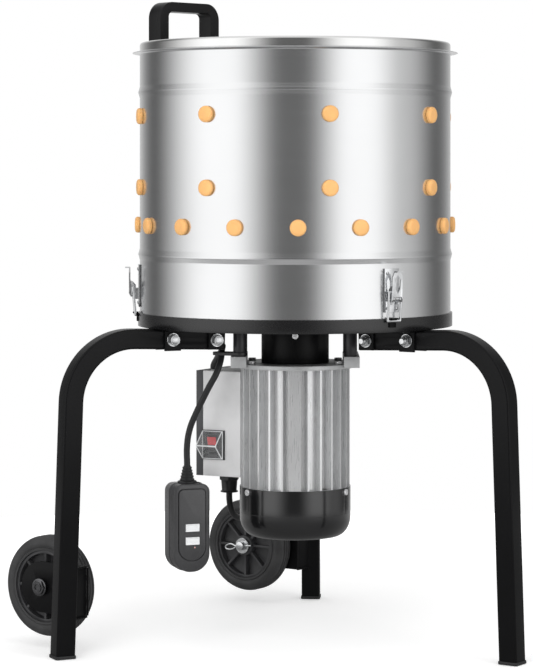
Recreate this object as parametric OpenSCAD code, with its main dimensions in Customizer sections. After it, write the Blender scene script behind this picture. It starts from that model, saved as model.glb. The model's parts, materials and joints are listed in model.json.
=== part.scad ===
// Drum poultry plucker on three legs, with two transport wheels.
// Units are millimetres. +Z is up, the handle side is +Y and the front leg points to -Y.

/* [Drum] */
// Outer diameter of the drum
drum_od = 400; // [385:1:410]
// Sheet thickness of the drum wall
drum_wall = 1.2; // [1:0.1:2]
// Height of the drum wall with its rolled rim
drum_h = 349; // [340:1:380]
// Width of a stiffening bead rolled into the wall
bead_w = 16; // [10:1:20]
// How far a bead stands out of the wall
bead_proud = 2; // [1:0.5:3]
// Height of the lower bead above the drum's bottom edge
bead_low = 89; // [86:1:95]
// Height of the upper bead above the drum's bottom edge
bead_high = 296.5; // [290:0.5:300]
// How far the rolled rim stands out of the wall
rim_out = 9; // [6:1:12]
// Thickness of the rolled rim
rim_t = 5; // [4:0.5:6]
// Height of the splash ring above the rim
splash_h = 11.2; // [9:0.1:20]
// How far the splash ring's lip reaches inwards
splash_lip = 22; // [15:1:26]
// Sheet thickness of the splash ring
splash_t = 1.5; // [1:0.1:2]
// Corner radius of the splash ring
splash_corner = 6; // [4:0.5:8]

/* [Fingers] */
// Length of a finger from its head's seat to its tip
finger_len = 89; // [80:1:92]
// Diameter of a finger's head and shoulder
finger_head_d = 20.5; // [18:0.5:22]
// Thickness of a finger's head
finger_head_t = 6.5; // [4:0.5:7]
// Diameter of the hole that a finger's neck snaps into
finger_hole_d = 16; // [13:0.5:17]
// Diameter of a finger at its tip
finger_tip_d = 13; // [10:0.5:15]
// Grip ribs along one finger
finger_ribs = 7; // [3:1:9]
// Depth of the grooves between the ribs
rib_depth = 1.2; // [0.6:0.1:1.5]
// Fingers round the drum in the two upper rows
upper_row_count = 8; // [6:1:10]
// Fingers round the drum in the lowest row
lower_row_count = 16; // [12:2:18]
// Height of the lowest row above the drum's bottom edge
row_low = 126.5; // [124:0.5:130]
// Height of the middle row above the drum's bottom edge
row_mid = 175; // [165:0.5:185]
// Height of the top row above the drum's bottom edge
row_top = 265.5; // [250:0.5:275]
// Fingers in the plate's outer ring
plate_outer_count = 12; // [8:1:14]
// Fingers in the plate's inner ring
plate_inner_count = 8; // [6:1:9]

/* [Feather plate] */
// Gap between the plate's edge and the drum wall, which lets the feathers fall
plate_gap = 10.8; // [8:0.2:14]
// Thickness of the plate
plate_t = 4; // [3:0.5:6]
// Height of the plate's underside above the tray floor
plate_lift = 21.5; // [19:0.5:24]
// Radius of the outer ring of plate fingers
plate_outer_r = 150; // [145:1:165]
// Radius of the inner ring of plate fingers
plate_inner_r = 85; // [80:1:100]

/* [Tray and outlet] */
// Height of the tray's underside above the ground
tray_z = 404; // [400:1:420]
// Thickness of the tray floor
tray_t = 2.5; // [2:0.1:3]
// Height of the tray's rim over its underside
tray_rim_h = 17; // [15:1:18]
// Thickness of the tray's rim
tray_rim_t = 2; // [1.5:0.1:3]
// Width of the feather outlet
outlet_w = 110; // [80:1:125]
// Height of the feather outlet over the tray floor
outlet_h = 39; // [30:1:45]
// How far the outlet duct stands out of the drum wall
outlet_out = 40; // [25:1:60]

/* [Legs] */
// Outside width of the square leg tube
leg_w = 25; // [22:1:28]
// Wall thickness of the leg tube
leg_wall = 1.5; // [1:0.1:2]
// Centreline radius of the bend in a leg
leg_bend = 79; // [60:1:90]
// Distance of a foot from the drum axis
foot_r = 320; // [305:1:340]
// Tilt of a leg out of square
leg_tilt = 2; // [1:0.25:2.5]
// Distance of an arm's inner end from the drum axis
arm_in = 105; // [100:1:110]
// Thickness of the plastic foot under a leg
foot_t = 4; // [3:0.5:8]
// Diameter of the bolts that hold the legs
leg_bolt_d = 8; // [6:0.5:8]

/* [Wheels] */
// Diameter of a wheel
wheel_d = 127; // [110:1:130]
// Width of a wheel
wheel_w = 30; // [26:1:34]
// Height of the wheel axle above the ground
axle_z = 77; // [75:0.5:85]
// Diameter of the wheel axle
axle_d = 12; // [10:0.5:14]
// Distance of the axle behind the leg's centreline
axle_back = 67; // [64:1:75]
// Distance of the wheel's middle from the leg's centreline
wheel_in = 55; // [52:1:62]
// Thickness of the wheel bracket's plate
wheel_plate_t = 3; // [2:0.5:4]
// Spokes in a wheel hub
spokes = 8; // [5:1:10]

/* [Motor] */
// Outer diameter over the motor's cooling fins
motor_od = 141; // [136:1:144]
// Length of the finned motor body
motor_len = 153; // [150:1:175]
// Cooling fins round the motor
fin_count = 26; // [20:1:32]
// Thickness of a cooling fin
fin_t = 2.4; // [1.5:0.1:3]
// Height of the fan cover
cover_h = 64; // [60:1:75]
// Outer diameter of the fan cover
cover_od = 143; // [140:1:146]
// Wall thickness of the fan cover
cover_wall = 1.5; // [1:0.1:2]
// Diameter of the motor shaft in its bearings
shaft_d = 17; // [15:0.5:18]
// Air gap between rotor and stator
air_gap = 0.6; // [0.4:0.1:1]
// Length of the stator core
core_len = 70; // [60:1:80]
// Thickness of the motor's top shield
shield_t = 5.5; // [5:0.5:8]
// Azimuth of the motor's mounting ears
ear_az = -56; // [-58:1:-54]

/* [Gearbox] */
// Outer diameter of the gearbox housing
gearbox_od = 87; // [85:0.5:92]
// Height of the gearbox housing
gearbox_h = 48.5; // [47:0.5:52]
// Gear module
gear_module = 1.5; // [1.45:0.01:1.52]
// Face width of the planet gears
gear_w = 11; // [9:0.5:11.5]
// Diameter of a planet's pin
planet_pin_d = 6; // [5:0.5:8]
// Diameter of a standoff between motor and tray
standoff_d = 16.5; // [14:0.5:18]
// Diameter of the bolt through a standoff
standoff_bolt_d = 8; // [6:0.5:9]

/* [Junction box and switch] */
// Width of the junction box
box_w = 84; // [78:1:92]
// Height of the junction box
box_h = 136; // [120:1:138]
// Distance of the box lid's outer face from the motor axis
box_reach = 123; // [118:1:125]
// Thickness of the box lid
lid_t = 10; // [6:1:12]
// Wall thickness of the box
box_wall = 3; // [2:0.5:4]
// Width of the switch plate
switch_w = 34; // [30:1:36]
// Height of the switch plate
switch_h = 38; // [34:1:44]
// How far the clear boot stands out
boot_out = 18; // [15:1:22]
// Diameter of the cable gland
gland_d = 24; // [20:1:28]
// Length of the cable gland
gland_len = 25; // [20:1:30]

/* [Handle] */
// Width of the handle over its two feet
handle_w = 106; // [95:1:115]
// Depth of the handle outwards
handle_depth = 24; // [20:1:28]
// Thickness of a handle upright
handle_leg = 15; // [12:0.5:18]
// Thickness of the handle's grip bar
handle_bar = 13; // [10:0.5:16]
// Height of the grip's top above the drum rim
handle_rise = 72.5; // [65:0.5:85]
// Outer corner radius of the handle
handle_corner = 22; // [16:1:24]

/* [Latches] */
// Width of a latch's base plate
latch_w = 22; // [20:1:26]
// Height of a latch's base plate
latch_h = 54; // [46:1:56]
// Diameter of the latch's wire bail
bail_d = 3; // [2:0.5:3]
// Diameter of the latch lever's pin
latch_pin_d = 4; // [3:0.5:5]
// Distance of the bail's pivot above the lever's pin
latch_throw = 8; // [7:0.5:10]
// Width of the keeper's lip on the tray
keeper_w = 10; // [8:1:12]

/* [Lead and plug] */
// Diameter of the lead
lead_d = 8; // [7:0.25:8]
// Height of the plug body
plug_h = 111; // [100:1:120]
// Width of the plug body
plug_w = 48; // [44:1:54]
// Depth of the plug body
plug_depth = 35; // [30:1:38]
// Width of a push button on the plug
button_w = 18.4; // [14:0.2:20]
// Height of a push button on the plug
button_h = 9.6; // [8:0.2:11]
// Travel of a push button
button_travel = 1.5; // [1:0.25:2]

/* [Hidden] */
$fn = 64;

// Small named clearances and shared bits
eps = 0.5;
fit = 0.05;
slip = 0.3;
drum_r = drum_od / 2;
floor_z = tray_z + tray_t;
rim_z = floor_z + drum_h;
tray_r = drum_r + slip + tray_rim_t;

// Legs: the arm lies under the tray and the tilt lifts its outer end to it
leg_azimuths = [-90, 30, 150];
arm_z = tray_z - leg_w / 2 - slip - tan(leg_tilt) * (tray_r - arm_in);
leg_reach = (foot_r - arm_in - tan(leg_tilt) * arm_z) * cos(leg_tilt);
arm_len = leg_reach - leg_bend;
leg_drop = arm_z - leg_bend + leg_w / 2;
leg_corner = 3;
bolt_radii = [arm_in + 13, arm_in + 73];
cleat_t = 3;
cleat_half = 11;
cleat_flange = 15;
cleat_out = leg_w / 2 + slip / 2 + cleat_t;
foot_half = leg_w / 2 + 1;
foot_play = 1.6;
leg_bore = leg_w - 2 * leg_wall;
leg_nut_h = 6;
leg_bolt_over = 3;
foot_plug_h = 0.56 * leg_w;

// The drum axis stands where the origin lies in the middle of the footprint
axle_leg_r = foot_r - axle_z * tan(leg_tilt);
front_reach = foot_r + foot_half;
axle_y = axle_leg_r * sin(leg_azimuths[1]) + axle_back;
axle_x = axle_leg_r * cos(leg_azimuths[1]);
back_reach = axle_y + wheel_d / 2;
axis_y = (front_reach - back_reach) / 2;

outlet_az = 70;
outlet_reach = drum_r + outlet_out;

// Wheels
tyre_in_r = wheel_d / 2 - 18;
wheel_side_gap = 1.2;
plate_x = wheel_in - wheel_w / 2 - wheel_side_gap - wheel_plate_t;
plate_end_r = 32;
axle_head_t = 4.4;
axle_head_r = 11;
washer_t = 1.6;
axle_end = wheel_in + wheel_w / 2 + 10;
clip_r = 1.1;
clip_back = 5;

// Fingers
finger_sag = drum_r - sqrt(drum_r * drum_r - finger_head_d * finger_head_d / 4);
shoulder_h = 4;
upper_row_az = 1.25;
lower_row_az = 12.5;

// Feather plate and its drive
plate_z = floor_z + plate_lift;
plate_r = drum_r - drum_wall - plate_gap;
hub_r = 30;
hub_h = 12;
shaft_hole_r = 20;
collar_h = 8;
collar_t = 2;
out_shaft_r = 8.5;
stub_r = 7;
stub_h = 14;
plate_nut_h = 8;
plate_washer_t = 2;

// Gear train: sun, three planets and a fixed ring cut in the housing
sun_teeth = 12;
planet_teeth = 18;
ring_teeth = sun_teeth + 2 * planet_teeth;
planet_azimuths = [-90, 30, 150];
gear_centre = gear_module * (sun_teeth + planet_teeth) / 2;
gear_add = 0.8 * gear_module;
gear_ded = 1.2 * gear_module;
tooth_half = 0.33 * gear_module * 2;
flank = tan(20);
ring_root_r = gear_module * ring_teeth / 2 + gear_ded;
shield_top = tray_z - gearbox_h;
gear_z = shield_top + 5;
carrier_z = gear_z + gear_w + 2;
carrier_t = 7;
carrier_r = ring_root_r - 4;
carrier_room = 1;
bearing_r = 17.5;
bearing_w = 10;

// Motor
motor_top = shield_top - shield_t;
motor_bottom = motor_top - motor_len;
motor_bore_r = 52;
fin_root_r = motor_od / 2 - 12.5;
shield_r = motor_od / 2 + 7.5;
ear_top = shield_top + 10.5;
ear_in = 62;
ear_out = 82;
ear_half = 53;
standoff_x = 70.7;
standoff_y = 42;
shaft_r = shaft_d / 2;
motor_bearing_r = 20;
motor_bearing_w = 12;
boss_r = 24;
spigot_h = 4;
rotor_r = 27;
core_mid = motor_bottom + 73;
end_shield_t = 10;
end_shield_r = cover_od / 2 - cover_wall - 0.2;
fan_shaft_r = 7;
cover_bottom = motor_bottom - cover_h;
cover_round_z = 26;
cover_flat_r = cover_od / 2 - 18.5;
fan_r = 58;
pinion_r = gear_module * sun_teeth / 2 - gear_ded;

// Small screws
screw_r = 2;
screw_bite = 3;
cover_screw_azimuths = [-83, 37, 157];
cover_screw_len = cover_wall + 6;
handle_screw_bite = 12;
shield_screw_x = ear_in - 6;
shield_screw_y = ear_half - 17;

// Junction box, in its own turned frame: x outwards, y to the switch side
box_az = 96;
box_top = motor_top - 6.3;
box_bottom = box_top - box_h;
box_in = 52;
saddle_r = motor_od / 2 + slip;
box_floor_x = saddle_r + box_wall;
box_seat = box_reach - lid_t;
switch_x = box_reach - 26;
switch_z = box_bottom + 40.5;
switch_t = 2;
rocker_w = 13;
rocker_h = 24;
rocker_pin_r = 1.5;
boot_wall = 1.2;
gland_x = box_reach - 25.5;

// Handle
handle_az = 78.5;
handle_in = drum_r + 1.5;
shelf_t = 3;
shelf_z = rim_z - 7.5;
handle_top = rim_z + handle_rise;

// Latches, in their own turned frames: x outwards, y along the rim
latch_azimuths = [-110, 10, 130];
latch_z = floor_z + 22;
latch_pin_x = drum_r + 9;
latch_pin_z = latch_z + 17;
latch_plate_t = 2;
latch_ear_in = 4;
latch_ear_t = 2;
cheek_t = 1.5;
cheek_in = latch_ear_in + latch_ear_t + slip;
bail_y = cheek_in + cheek_t + slip + bail_d / 2;
keeper_lip_z = tray_z + tray_rim_h - 1;
keeper_reach = tray_r + 6.7;
keeper_t = 2;
hook_z = keeper_lip_z - bail_d / 2 - slip;
hook_x = tray_r + 3.7;
bail_z = latch_pin_z + latch_throw;

// Plug
plug_x = -118;
plug_y = 86;
plug_az = -124;
plug_top = 206;
relief_h = 22;
tongue_t = 1.6;
button_z_high = plug_top - 54.8;
button_z_low = plug_top - 71.5;
button_proud = 2.2;
button_deep = 6;

// Lead: the coil hangs under the right leg's arm, in the plane of that leg
lead_r = lead_d / 2;
coil_az = leg_azimuths[1];
coil_turns = 3.75;
coil_start_r = 57;
coil_pitch = 8.7;
coil_layer = 8.6;
coil_rings = 24;
coil_sides = 6;
coil_mid_r = arm_in + 43;
coil_z = arm_z + tan(leg_tilt) * (coil_mid_r - arm_in) - leg_w / 2 - slip - coil_start_r - lead_r;
tube_sides = 10;

// Route points of the lead from the gland to the coil, from the drum axis
route_upper = [
    [-6, 97, 160], [4, 98, 150], [18, 99, 146], [36, 97, 147], [54, 91, 150], [70, 80, 158],
    [80, 65, 170], [83, 51, 186], [81, 43, 205], [81, 42, 228], [81, 42, 250], [81, 42, 275]
];
// Route points of the lead from the coil to the plug, from the drum axis
route_lower = [
    [102, 64, 259], [86, 60, 263], [70, 66, 270], [59, 80, 278], [53, 97, 287], [47, 113, 297],
    [39, 128, 308], [24, 140, 321], [8, 136, 341], [-9, 118, 356], [-29, 97, 367],
    [-48, 81, 375], [-64, 69, 377], [-77, 61, 373], [-88, 55, 361], [-96, 56, 345],
    [-102, 63, 328], [-107, 70, 311], [-112, 77, 293], [-116, 83, 275], [-118, 86, 255]
];

// Where the lead slants through its tie at a standoff, and the room that its slant needs
tie_place = [-79.4, 59.8];
tie_room = 6;

// Placement and small shapes

// A frame that stands at the drum axis, turned to an azimuth
module at(az, r = 0, z = 0) {
    translate([0, axis_y, 0]) rotate(az) translate([r, 0, z]) children();
}

module ring(r_out, r_in, h) {
    difference() {
        cylinder(r = r_out, h = h);
        translate([0, 0, -eps]) cylinder(r = r_in, h = h + 2 * eps);
    }
}

// A rectangle with round corners, of exact arcs
module soft_rect(w, h, r) {
    square([w - 2 * r, h], center = true);
    square([w, h - 2 * r], center = true);
    for (x = [-1, 1], y = [-1, 1])
        translate([x * (w / 2 - r), y * (h / 2 - r)]) circle(r = r);
}

// A cylinder along local y, centred
module cross_cylinder(r, h) {
    rotate([90, 0, 0]) cylinder(r = r, h = h, center = true);
}

module hex(across, h) {
    cylinder(d = across / cos(30), h = h, $fn = 6);
}

function arc(x, z, r, from, to, steps) =
    [for (i = [0 : steps]) let (a = from + (to - from) * i / steps) [x + r * cos(a), z + r * sin(a)]];

// Tube swept along points: each ring stands square to the path
function unit(v) = v / norm(v);
function heading(p, i) =
    i == 0 ? unit(p[1] - p[0])
    : i == len(p) - 1 ? unit(p[i] - p[i - 1])
    : unit(unit(p[i] - p[i - 1]) + unit(p[i + 1] - p[i]));
function carried(side, dir) = unit(side - (side * dir) * dir);
function sides_along(p, first, i = 0, done = []) =
    i == len(p) ? done
    : sides_along(p, first, i + 1,
        concat(done, [carried(i == 0 ? first : done[i - 1], heading(p, i))]));
function tube_points(p, r, n, first) =
    let (side = sides_along(p, first))
    [for (i = [0 : len(p) - 1]) let (u = side[i], v = cross(heading(p, i), u))
        for (k = [0 : n - 1]) p[i] + r * cos(360 * k / n) * u + r * sin(360 * k / n) * v];
function tube_faces(rings, n) = concat(
    [[for (k = [0 : n - 1]) n - 1 - k]],
    [for (i = [0 : rings - 2], k = [0 : n - 1]) let (j = (k + 1) % n)
        [i * n + k, i * n + j, (i + 1) * n + j]],
    [for (i = [0 : rings - 2], k = [0 : n - 1]) let (j = (k + 1) % n)
        [i * n + k, (i + 1) * n + j, (i + 1) * n + k]],
    [[for (k = [0 : n - 1]) (rings - 1) * n + k]]);
module tube(p, r, n, first = [0, 0, 1]) {
    polyhedron(points = tube_points(p, r, n, first), faces = [for (f = tube_faces(len(p), n))
        [for (k = [len(f) - 1 : -1 : 0]) f[k]]], convexity = 10);
}

// Tray, legs and wheels

module base_tray() {
    color("#1c1c1e") at(0, 0, tray_z) difference() {
        union() {
            cylinder(r = tray_r, h = tray_t);
            ring(tray_r, tray_r - tray_rim_t, tray_rim_h);
            cylinder(r = shaft_hole_r + collar_t, h = tray_t + collar_h);
        }
        translate([0, 0, -eps]) cylinder(r = shaft_hole_r, h = tray_t + collar_h + 2 * eps);
        rotate(ear_az) for (x = [-1, 1], y = [-1, 1])
            translate([x * standoff_x, y * standoff_y, -eps])
                cylinder(r = standoff_bolt_d / 2 + fit, h = tray_t + 2 * eps);
        rotate(outlet_az) translate([drum_r - outlet_out, -outlet_w / 2 - tray_rim_t, tray_t])
            cube([1.5 * outlet_out, outlet_w + 2 * tray_rim_t, tray_rim_h]);
    }
}

module tube_section(w, r) {
    soft_rect(w, w, r);
}

// The centreline of one leg in its own plane, from the arm's inner end to the foot
module leg_path(w, r, over) {
    translate([-over, 0, 0]) rotate([90, 0, 90]) linear_extrude(arm_len + over) tube_section(w, r);
    translate([arm_len, 0, -leg_bend]) rotate([90, 0, 0])
        rotate_extrude(angle = 90) translate([leg_bend, 0]) tube_section(w, r);
    translate([leg_reach, 0, -leg_bend - leg_drop]) linear_extrude(leg_drop) tube_section(w, r);
}

module leg_frame(az) {
    at(az, arm_in, arm_z) rotate([0, -leg_tilt, 0]) children();
}

module arm_bolt_places(az) {
    for (r = bolt_radii) at(az, r, arm_z + tan(leg_tilt) * (r - arm_in)) children();
}

module leg(az, bracket = 0) {
    difference() {
        union() {
            leg_frame(az) leg_path(leg_w, leg_corner, 0);
            if (bracket != 0) wheel_bracket(bracket);
        }
        leg_frame(az) leg_path(leg_bore, leg_corner - leg_wall, eps);
        arm_bolt_places(az) cross_cylinder(leg_bolt_d / 2 + fit, leg_w + 2 * eps);
        at(az, foot_r, foot_t - leg_w) cube([4 * leg_w, 4 * leg_w, 2 * leg_w], center = true);
    }
}

// Plate beside the leg that carries the axle, and the web that joins it to the tube
module wheel_bracket(side) {
    translate([side * axle_x, axis_y + axle_leg_r * sin(leg_azimuths[1]), axle_z])
        mirror([side < 0 ? 1 : 0, 0, 0]) {
            translate([-plate_x, 0, 0]) rotate([0, -90, 0]) linear_extrude(wheel_plate_t) difference() {
                union() {
                    translate([-plate_end_r, -wheel_plate_t])
                        square([2 * plate_end_r, axle_back + wheel_plate_t]);
                    translate([0, axle_back]) circle(r = plate_end_r);
                }
                translate([0, axle_back]) circle(r = axle_d / 2 + fit);
            }
            translate([-plate_x - wheel_plate_t / 2, -wheel_plate_t, -plate_end_r])
                cube([plate_x + wheel_plate_t / 2, wheel_plate_t, 2 * plate_end_r]);
        }
}

module leg_front() {
    color("#1c1c1e") leg(leg_azimuths[0]);
}

module leg_right() {
    color("#1c1c1e") leg(leg_azimuths[1], 1);
}

module leg_left() {
    color("#1c1c1e") leg(leg_azimuths[2], -1);
}

// Short angles, welded under the tray on both sides of each bolt
module leg_cleats() {
    color("#1c1c1e") for (az = leg_azimuths, r = bolt_radii, side = [0, 1])
        at(az, r, 0) mirror([0, side, 0]) difference() {
            translate([-cleat_half, cleat_out - cleat_t, 0]) {
                translate([0, 0, arm_z - leg_w / 2 + 1])
                    cube([2 * cleat_half, cleat_t, tray_z - arm_z + leg_w / 2 - 1]);
                translate([0, 0, tray_z - cleat_t]) cube([2 * cleat_half, cleat_flange, cleat_t]);
            }
            translate([0, 0, arm_z + tan(leg_tilt) * (r - arm_in)])
                cross_cylinder(leg_bolt_d / 2 + fit, 4 * cleat_out);
        }
}

module leg_bolts() {
    washer_r = leg_bolt_d + 0.5;
    color("silver") for (az = leg_azimuths) arm_bolt_places(az) {
        cross_cylinder(leg_bolt_d / 2, 2 * (cleat_out + washer_t + leg_nut_h + leg_bolt_over));
        for (side = [0, 1]) mirror([0, side, 0]) translate([0, cleat_out, 0]) rotate([-90, 0, 0]) {
            cylinder(r = washer_r, h = washer_t);
            hex(leg_bolt_d * 1.6, washer_t + leg_nut_h);
        }
    }
}

module foot_caps() {
    color("#141415") for (az = leg_azimuths) at(az, foot_r, 0) {
        linear_extrude(foot_t) soft_rect(2 * foot_half, 2 * foot_half, leg_corner);
        linear_extrude(foot_t + foot_plug_h)
            soft_rect(leg_bore - foot_play, leg_bore - foot_play, leg_corner - leg_wall);
    }
}

// A frame at an axle's own leg, x towards the middle of the machine
module axle_frame(side) {
    translate([side * axle_x, axis_y + axle_y, axle_z])
        mirror([side < 0 ? 1 : 0, 0, 0]) rotate([0, -90, 0]) children();
}

module axle_bolts() {
    color("silver") for (side = [-1, 1]) axle_frame(side) difference() {
        union() {
            translate([0, 0, plate_x - axle_head_t]) cylinder(r = axle_head_r, h = axle_head_t);
            translate([0, 0, plate_x - eps]) cylinder(r = axle_d / 2, h = axle_end - plate_x + eps);
        }
        translate([0, 0, axle_end - clip_back]) cross_cylinder(clip_r + fit, 4 * axle_d);
    }
}

// Washer and spring clip at each axle's free end
module axle_clips() {
    clip_z = axle_end - clip_back;
    eye_r = 6;
    color("silver") for (side = [-1, 1]) axle_frame(side) {
        translate([0, 0, clip_z - clip_r - washer_t - 2 * fit])
            ring(axle_head_r, axle_d / 2 + fit, washer_t);
        translate([0, 0, clip_z]) rotate(-90) {
            translate([-axle_d, 0, 0]) rotate([0, 90, 0]) cylinder(r = clip_r, h = 2 * axle_d + 4);
            translate([-axle_d - eye_r, 0, 0]) rotate_extrude() translate([eye_r, 0]) circle(r = clip_r);
        }
    }
}

module wheel_hub(side) {
    rib_half = 1.6;
    color("#202022") axle_frame(side) translate([0, 0, wheel_in - wheel_w / 2]) difference() {
        union() {
            cylinder(r = axle_d / 2 + 8, h = wheel_w);
            translate([0, 0, 3]) ring(tyre_in_r, tyre_in_r - 4, wheel_w - 6);
            translate([0, 0, wheel_w / 2 - 2]) cylinder(r = tyre_in_r - 2, h = 4);
            for (k = [0 : spokes - 1]) rotate(360 * k / spokes)
                translate([axle_d / 2 + 4, -rib_half, 4])
                    cube([tyre_in_r - axle_d / 2 - 6, 2 * rib_half, wheel_w - 8]);
        }
        translate([0, 0, -eps]) cylinder(r = axle_d / 2 + fit, h = wheel_w + 2 * eps);
    }
}

module wheel_tyre(side) {
    shoulder = 6;
    r = wheel_d / 2;
    color("#161617") axle_frame(side) translate([0, 0, wheel_in - wheel_w / 2])
        rotate_extrude() polygon(concat(
            [[tyre_in_r, 1], [r - shoulder - 4, 0]],
            arc(r - shoulder, shoulder, shoulder, -90, 0, 4),
            arc(r - shoulder, wheel_w - shoulder, shoulder, 0, 90, 4),
            [[r - shoulder - 4, wheel_w], [tyre_in_r, wheel_w - 1]]));
}

// Drum

function bead(r, z) =
    let (half = bead_w / 2, big = (half * half + bead_proud * bead_proud) / (2 * bead_proud),
        a = asin(half / big))
    arc(r + bead_proud - big, z, big, -a, a, 6);
function wall_line(r) = concat([[r, 0]], bead(r, bead_low), bead(r, bead_high), [[r, drum_h]]);
function backwards(list) = [for (i = [len(list) - 1 : -1 : 0]) list[i]];

module finger_places() {
    for (row = [row_mid, row_top], k = [0 : upper_row_count - 1])
        at(upper_row_az + 360 * k / upper_row_count, drum_r, floor_z + row) rotate([0, -90, 0]) children();
    for (k = [0 : lower_row_count - 1])
        at(lower_row_az + 360 * k / lower_row_count, drum_r, floor_z + row_low)
            rotate([0, -90, 0]) children();
}

module drum_shell() {
    color("#c9c9c7") difference() {
        at(0, 0, floor_z) rotate_extrude() {
            polygon(concat(wall_line(drum_r), backwards(wall_line(drum_r - drum_wall))));
            translate([drum_r - drum_wall, drum_h - rim_t])
                square([rim_out + drum_wall - rim_t / 2, rim_t]);
            translate([drum_r + rim_out - rim_t / 2, drum_h - rim_t / 2]) circle(d = rim_t);
        }
        finger_places() translate([0, 0, -10]) cylinder(d = finger_hole_d, h = 20);
        at(outlet_az, drum_r - outlet_out, floor_z - eps)
            translate([0, -outlet_w / 2, 0]) cube([1.5 * outlet_out, outlet_w, outlet_h + eps]);
    }
}

module splash_ring() {
    r = drum_r;
    c = splash_corner;
    color("#dcdcda") at(0, 0, rim_z) rotate_extrude() polygon(concat(
        [[r - splash_t, 0], [r, 0]],
        arc(r - c, splash_h - c, c, 0, 90, 6),
        [[r - splash_lip, splash_h], [r - splash_lip, splash_h - splash_t]],
        arc(r - c, splash_h - c, c - splash_t, 90, 0, 6)));
}

// One rubber finger: z = 0 is the seat of its head, and neck is the thickness that it holds
module finger(neck) {
    head_r = finger_head_d / 2;
    tip_r = finger_tip_d / 2;
    base = neck + shoulder_h;
    pitch = (finger_len - 6 - base) / finger_ribs;
    rotate_extrude() polygon(concat(
        [[0, -finger_head_t], [head_r - 1.5, -finger_head_t], [head_r, 1.5 - finger_head_t],
            [head_r, -0.5], [head_r - 0.5, 0], [finger_hole_d / 2 - fit, 0],
            [finger_hole_d / 2 - fit, neck], [head_r - 0.5, neck], [head_r, neck + 0.5],
            [head_r, base - 1]],
        [for (i = [0 : finger_ribs - 1], j = [0 : 3])
            let (t = (i + j / 4) / finger_ribs, r = head_r - 0.8 + (tip_r - head_r + 0.8) * t)
            [r - (j < 2 ? rib_depth : 0), base + pitch * (i + j / 4)]],
        [[tip_r, finger_len - 5], [tip_r - 1.5, finger_len - 1.5], [tip_r - 4, finger_len],
            [0, finger_len]]));
}

module drum_fingers() {
    color("#e8b274") finger_places() finger(drum_wall + finger_sag + fit);
}

module outlet_duct() {
    duct_t = 1.5;
    color("#1c1c1e") difference() {
        at(outlet_az) difference() {
            translate([drum_r - outlet_out / 2, -outlet_w / 2 - duct_t, tray_z + tray_t - duct_t])
                cube([1.5 * outlet_out, outlet_w + 2 * duct_t, outlet_h + 2 * duct_t]);
            translate([drum_r - outlet_out, -outlet_w / 2, floor_z])
                cube([outlet_reach, outlet_w, outlet_h]);
        }
        at(0, 0, tray_z) cylinder(r = drum_r + slip, h = drum_h);
        at(0, 0, tray_z - eps) cylinder(r = tray_r + fit, h = tray_rim_h + 2 * eps);
    }
}

// Feather plate and planetary drive

module plate_finger_places() {
    for (k = [0 : plate_outer_count - 1])
        at(360 * k / plate_outer_count, plate_outer_r, plate_z) children();
    for (k = [0 : plate_inner_count - 1])
        at(360 * (k + 0.5) / plate_inner_count, plate_inner_r, plate_z) children();
}

module feather_plate() {
    color("#c4c5c6") difference() {
        at(0, 0, plate_z) cylinder(r = plate_r, h = plate_t);
        plate_finger_places() translate([0, 0, -eps]) cylinder(d = finger_hole_d, h = plate_t + 2 * eps);
        at(0, 0, plate_z - eps) cylinder(r = stub_r + fit, h = plate_t + 2 * eps);
    }
}

module plate_fingers() {
    color("#e8b274") plate_finger_places() finger(plate_t + fit);
}

module planet_places() {
    for (az = planet_azimuths) at(az, gear_centre, 0) children();
}

// Carrier with its three pins, output shaft, hub under the plate, and the nut on top
module plate_shaft() {
    color("#8f9194") {
        planet_places() translate([0, 0, gear_z - 0.5])
            cylinder(d = planet_pin_d, h = carrier_z - gear_z + 1);
        at(0, 0, carrier_z) cylinder(r = carrier_r, h = carrier_t);
        at(0, 0, carrier_z) cylinder(r = out_shaft_r, h = plate_z - carrier_z);
        at(0, 0, plate_z - hub_h) cylinder(r = hub_r, h = hub_h);
        at(0, 0, plate_z - hub_h - 6) ring(hub_r, hub_r - 3, 6 + eps);
        at(0, 0, plate_z - eps) cylinder(r = stub_r, h = plate_t + stub_h + eps);
    }
    color("silver") at(0, 0, plate_z + plate_t) {
        cylinder(r = 2 * stub_r, h = plate_washer_t);
        hex(3 * stub_r, plate_nut_h + plate_washer_t);
    }
}

function polar(r, a) = [r * cos(a), r * sin(a)];
function turn_of(width, r) = width / r * 180 / PI;

// Outline of a spur gear whose first tooth points to x
function gear_outline(teeth) =
    let (rp = gear_module * teeth / 2, rt = rp + gear_add, rr = rp - gear_ded,
        wt = tooth_half - gear_add * flank, wr = tooth_half + gear_ded * flank)
    [for (i = [0 : teeth - 1]) let (a = 360 * i / teeth)
        for (p = [[rr, -wr], [rt, -wt], [rt, wt], [rr, wr]]) polar(p[0], a + turn_of(p[1], p[0]))];

// Outline of the space inside the fixed ring, whose first gap points to x
function ring_outline() =
    let (rp = gear_module * ring_teeth / 2, rt = rp - gear_add, rr = rp + gear_ded,
        half = PI * gear_module / 2 - tooth_half, wt = half + gear_add * flank,
        wr = half - gear_ded * flank)
    [for (i = [0 : ring_teeth - 1]) let (a = 360 * i / ring_teeth)
        for (p = [[rt, -wt], [rr, -wr], [rr, wr], [rt, wt]]) polar(p[0], a + turn_of(p[1], p[0]))];

module planet_gear(i) {
    color("#9a9c9e") at(planet_azimuths[i], gear_centre, gear_z) linear_extrude(gear_w) difference() {
        polygon(gear_outline(planet_teeth));
        circle(r = planet_pin_d / 2 + fit);
    }
}

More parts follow.
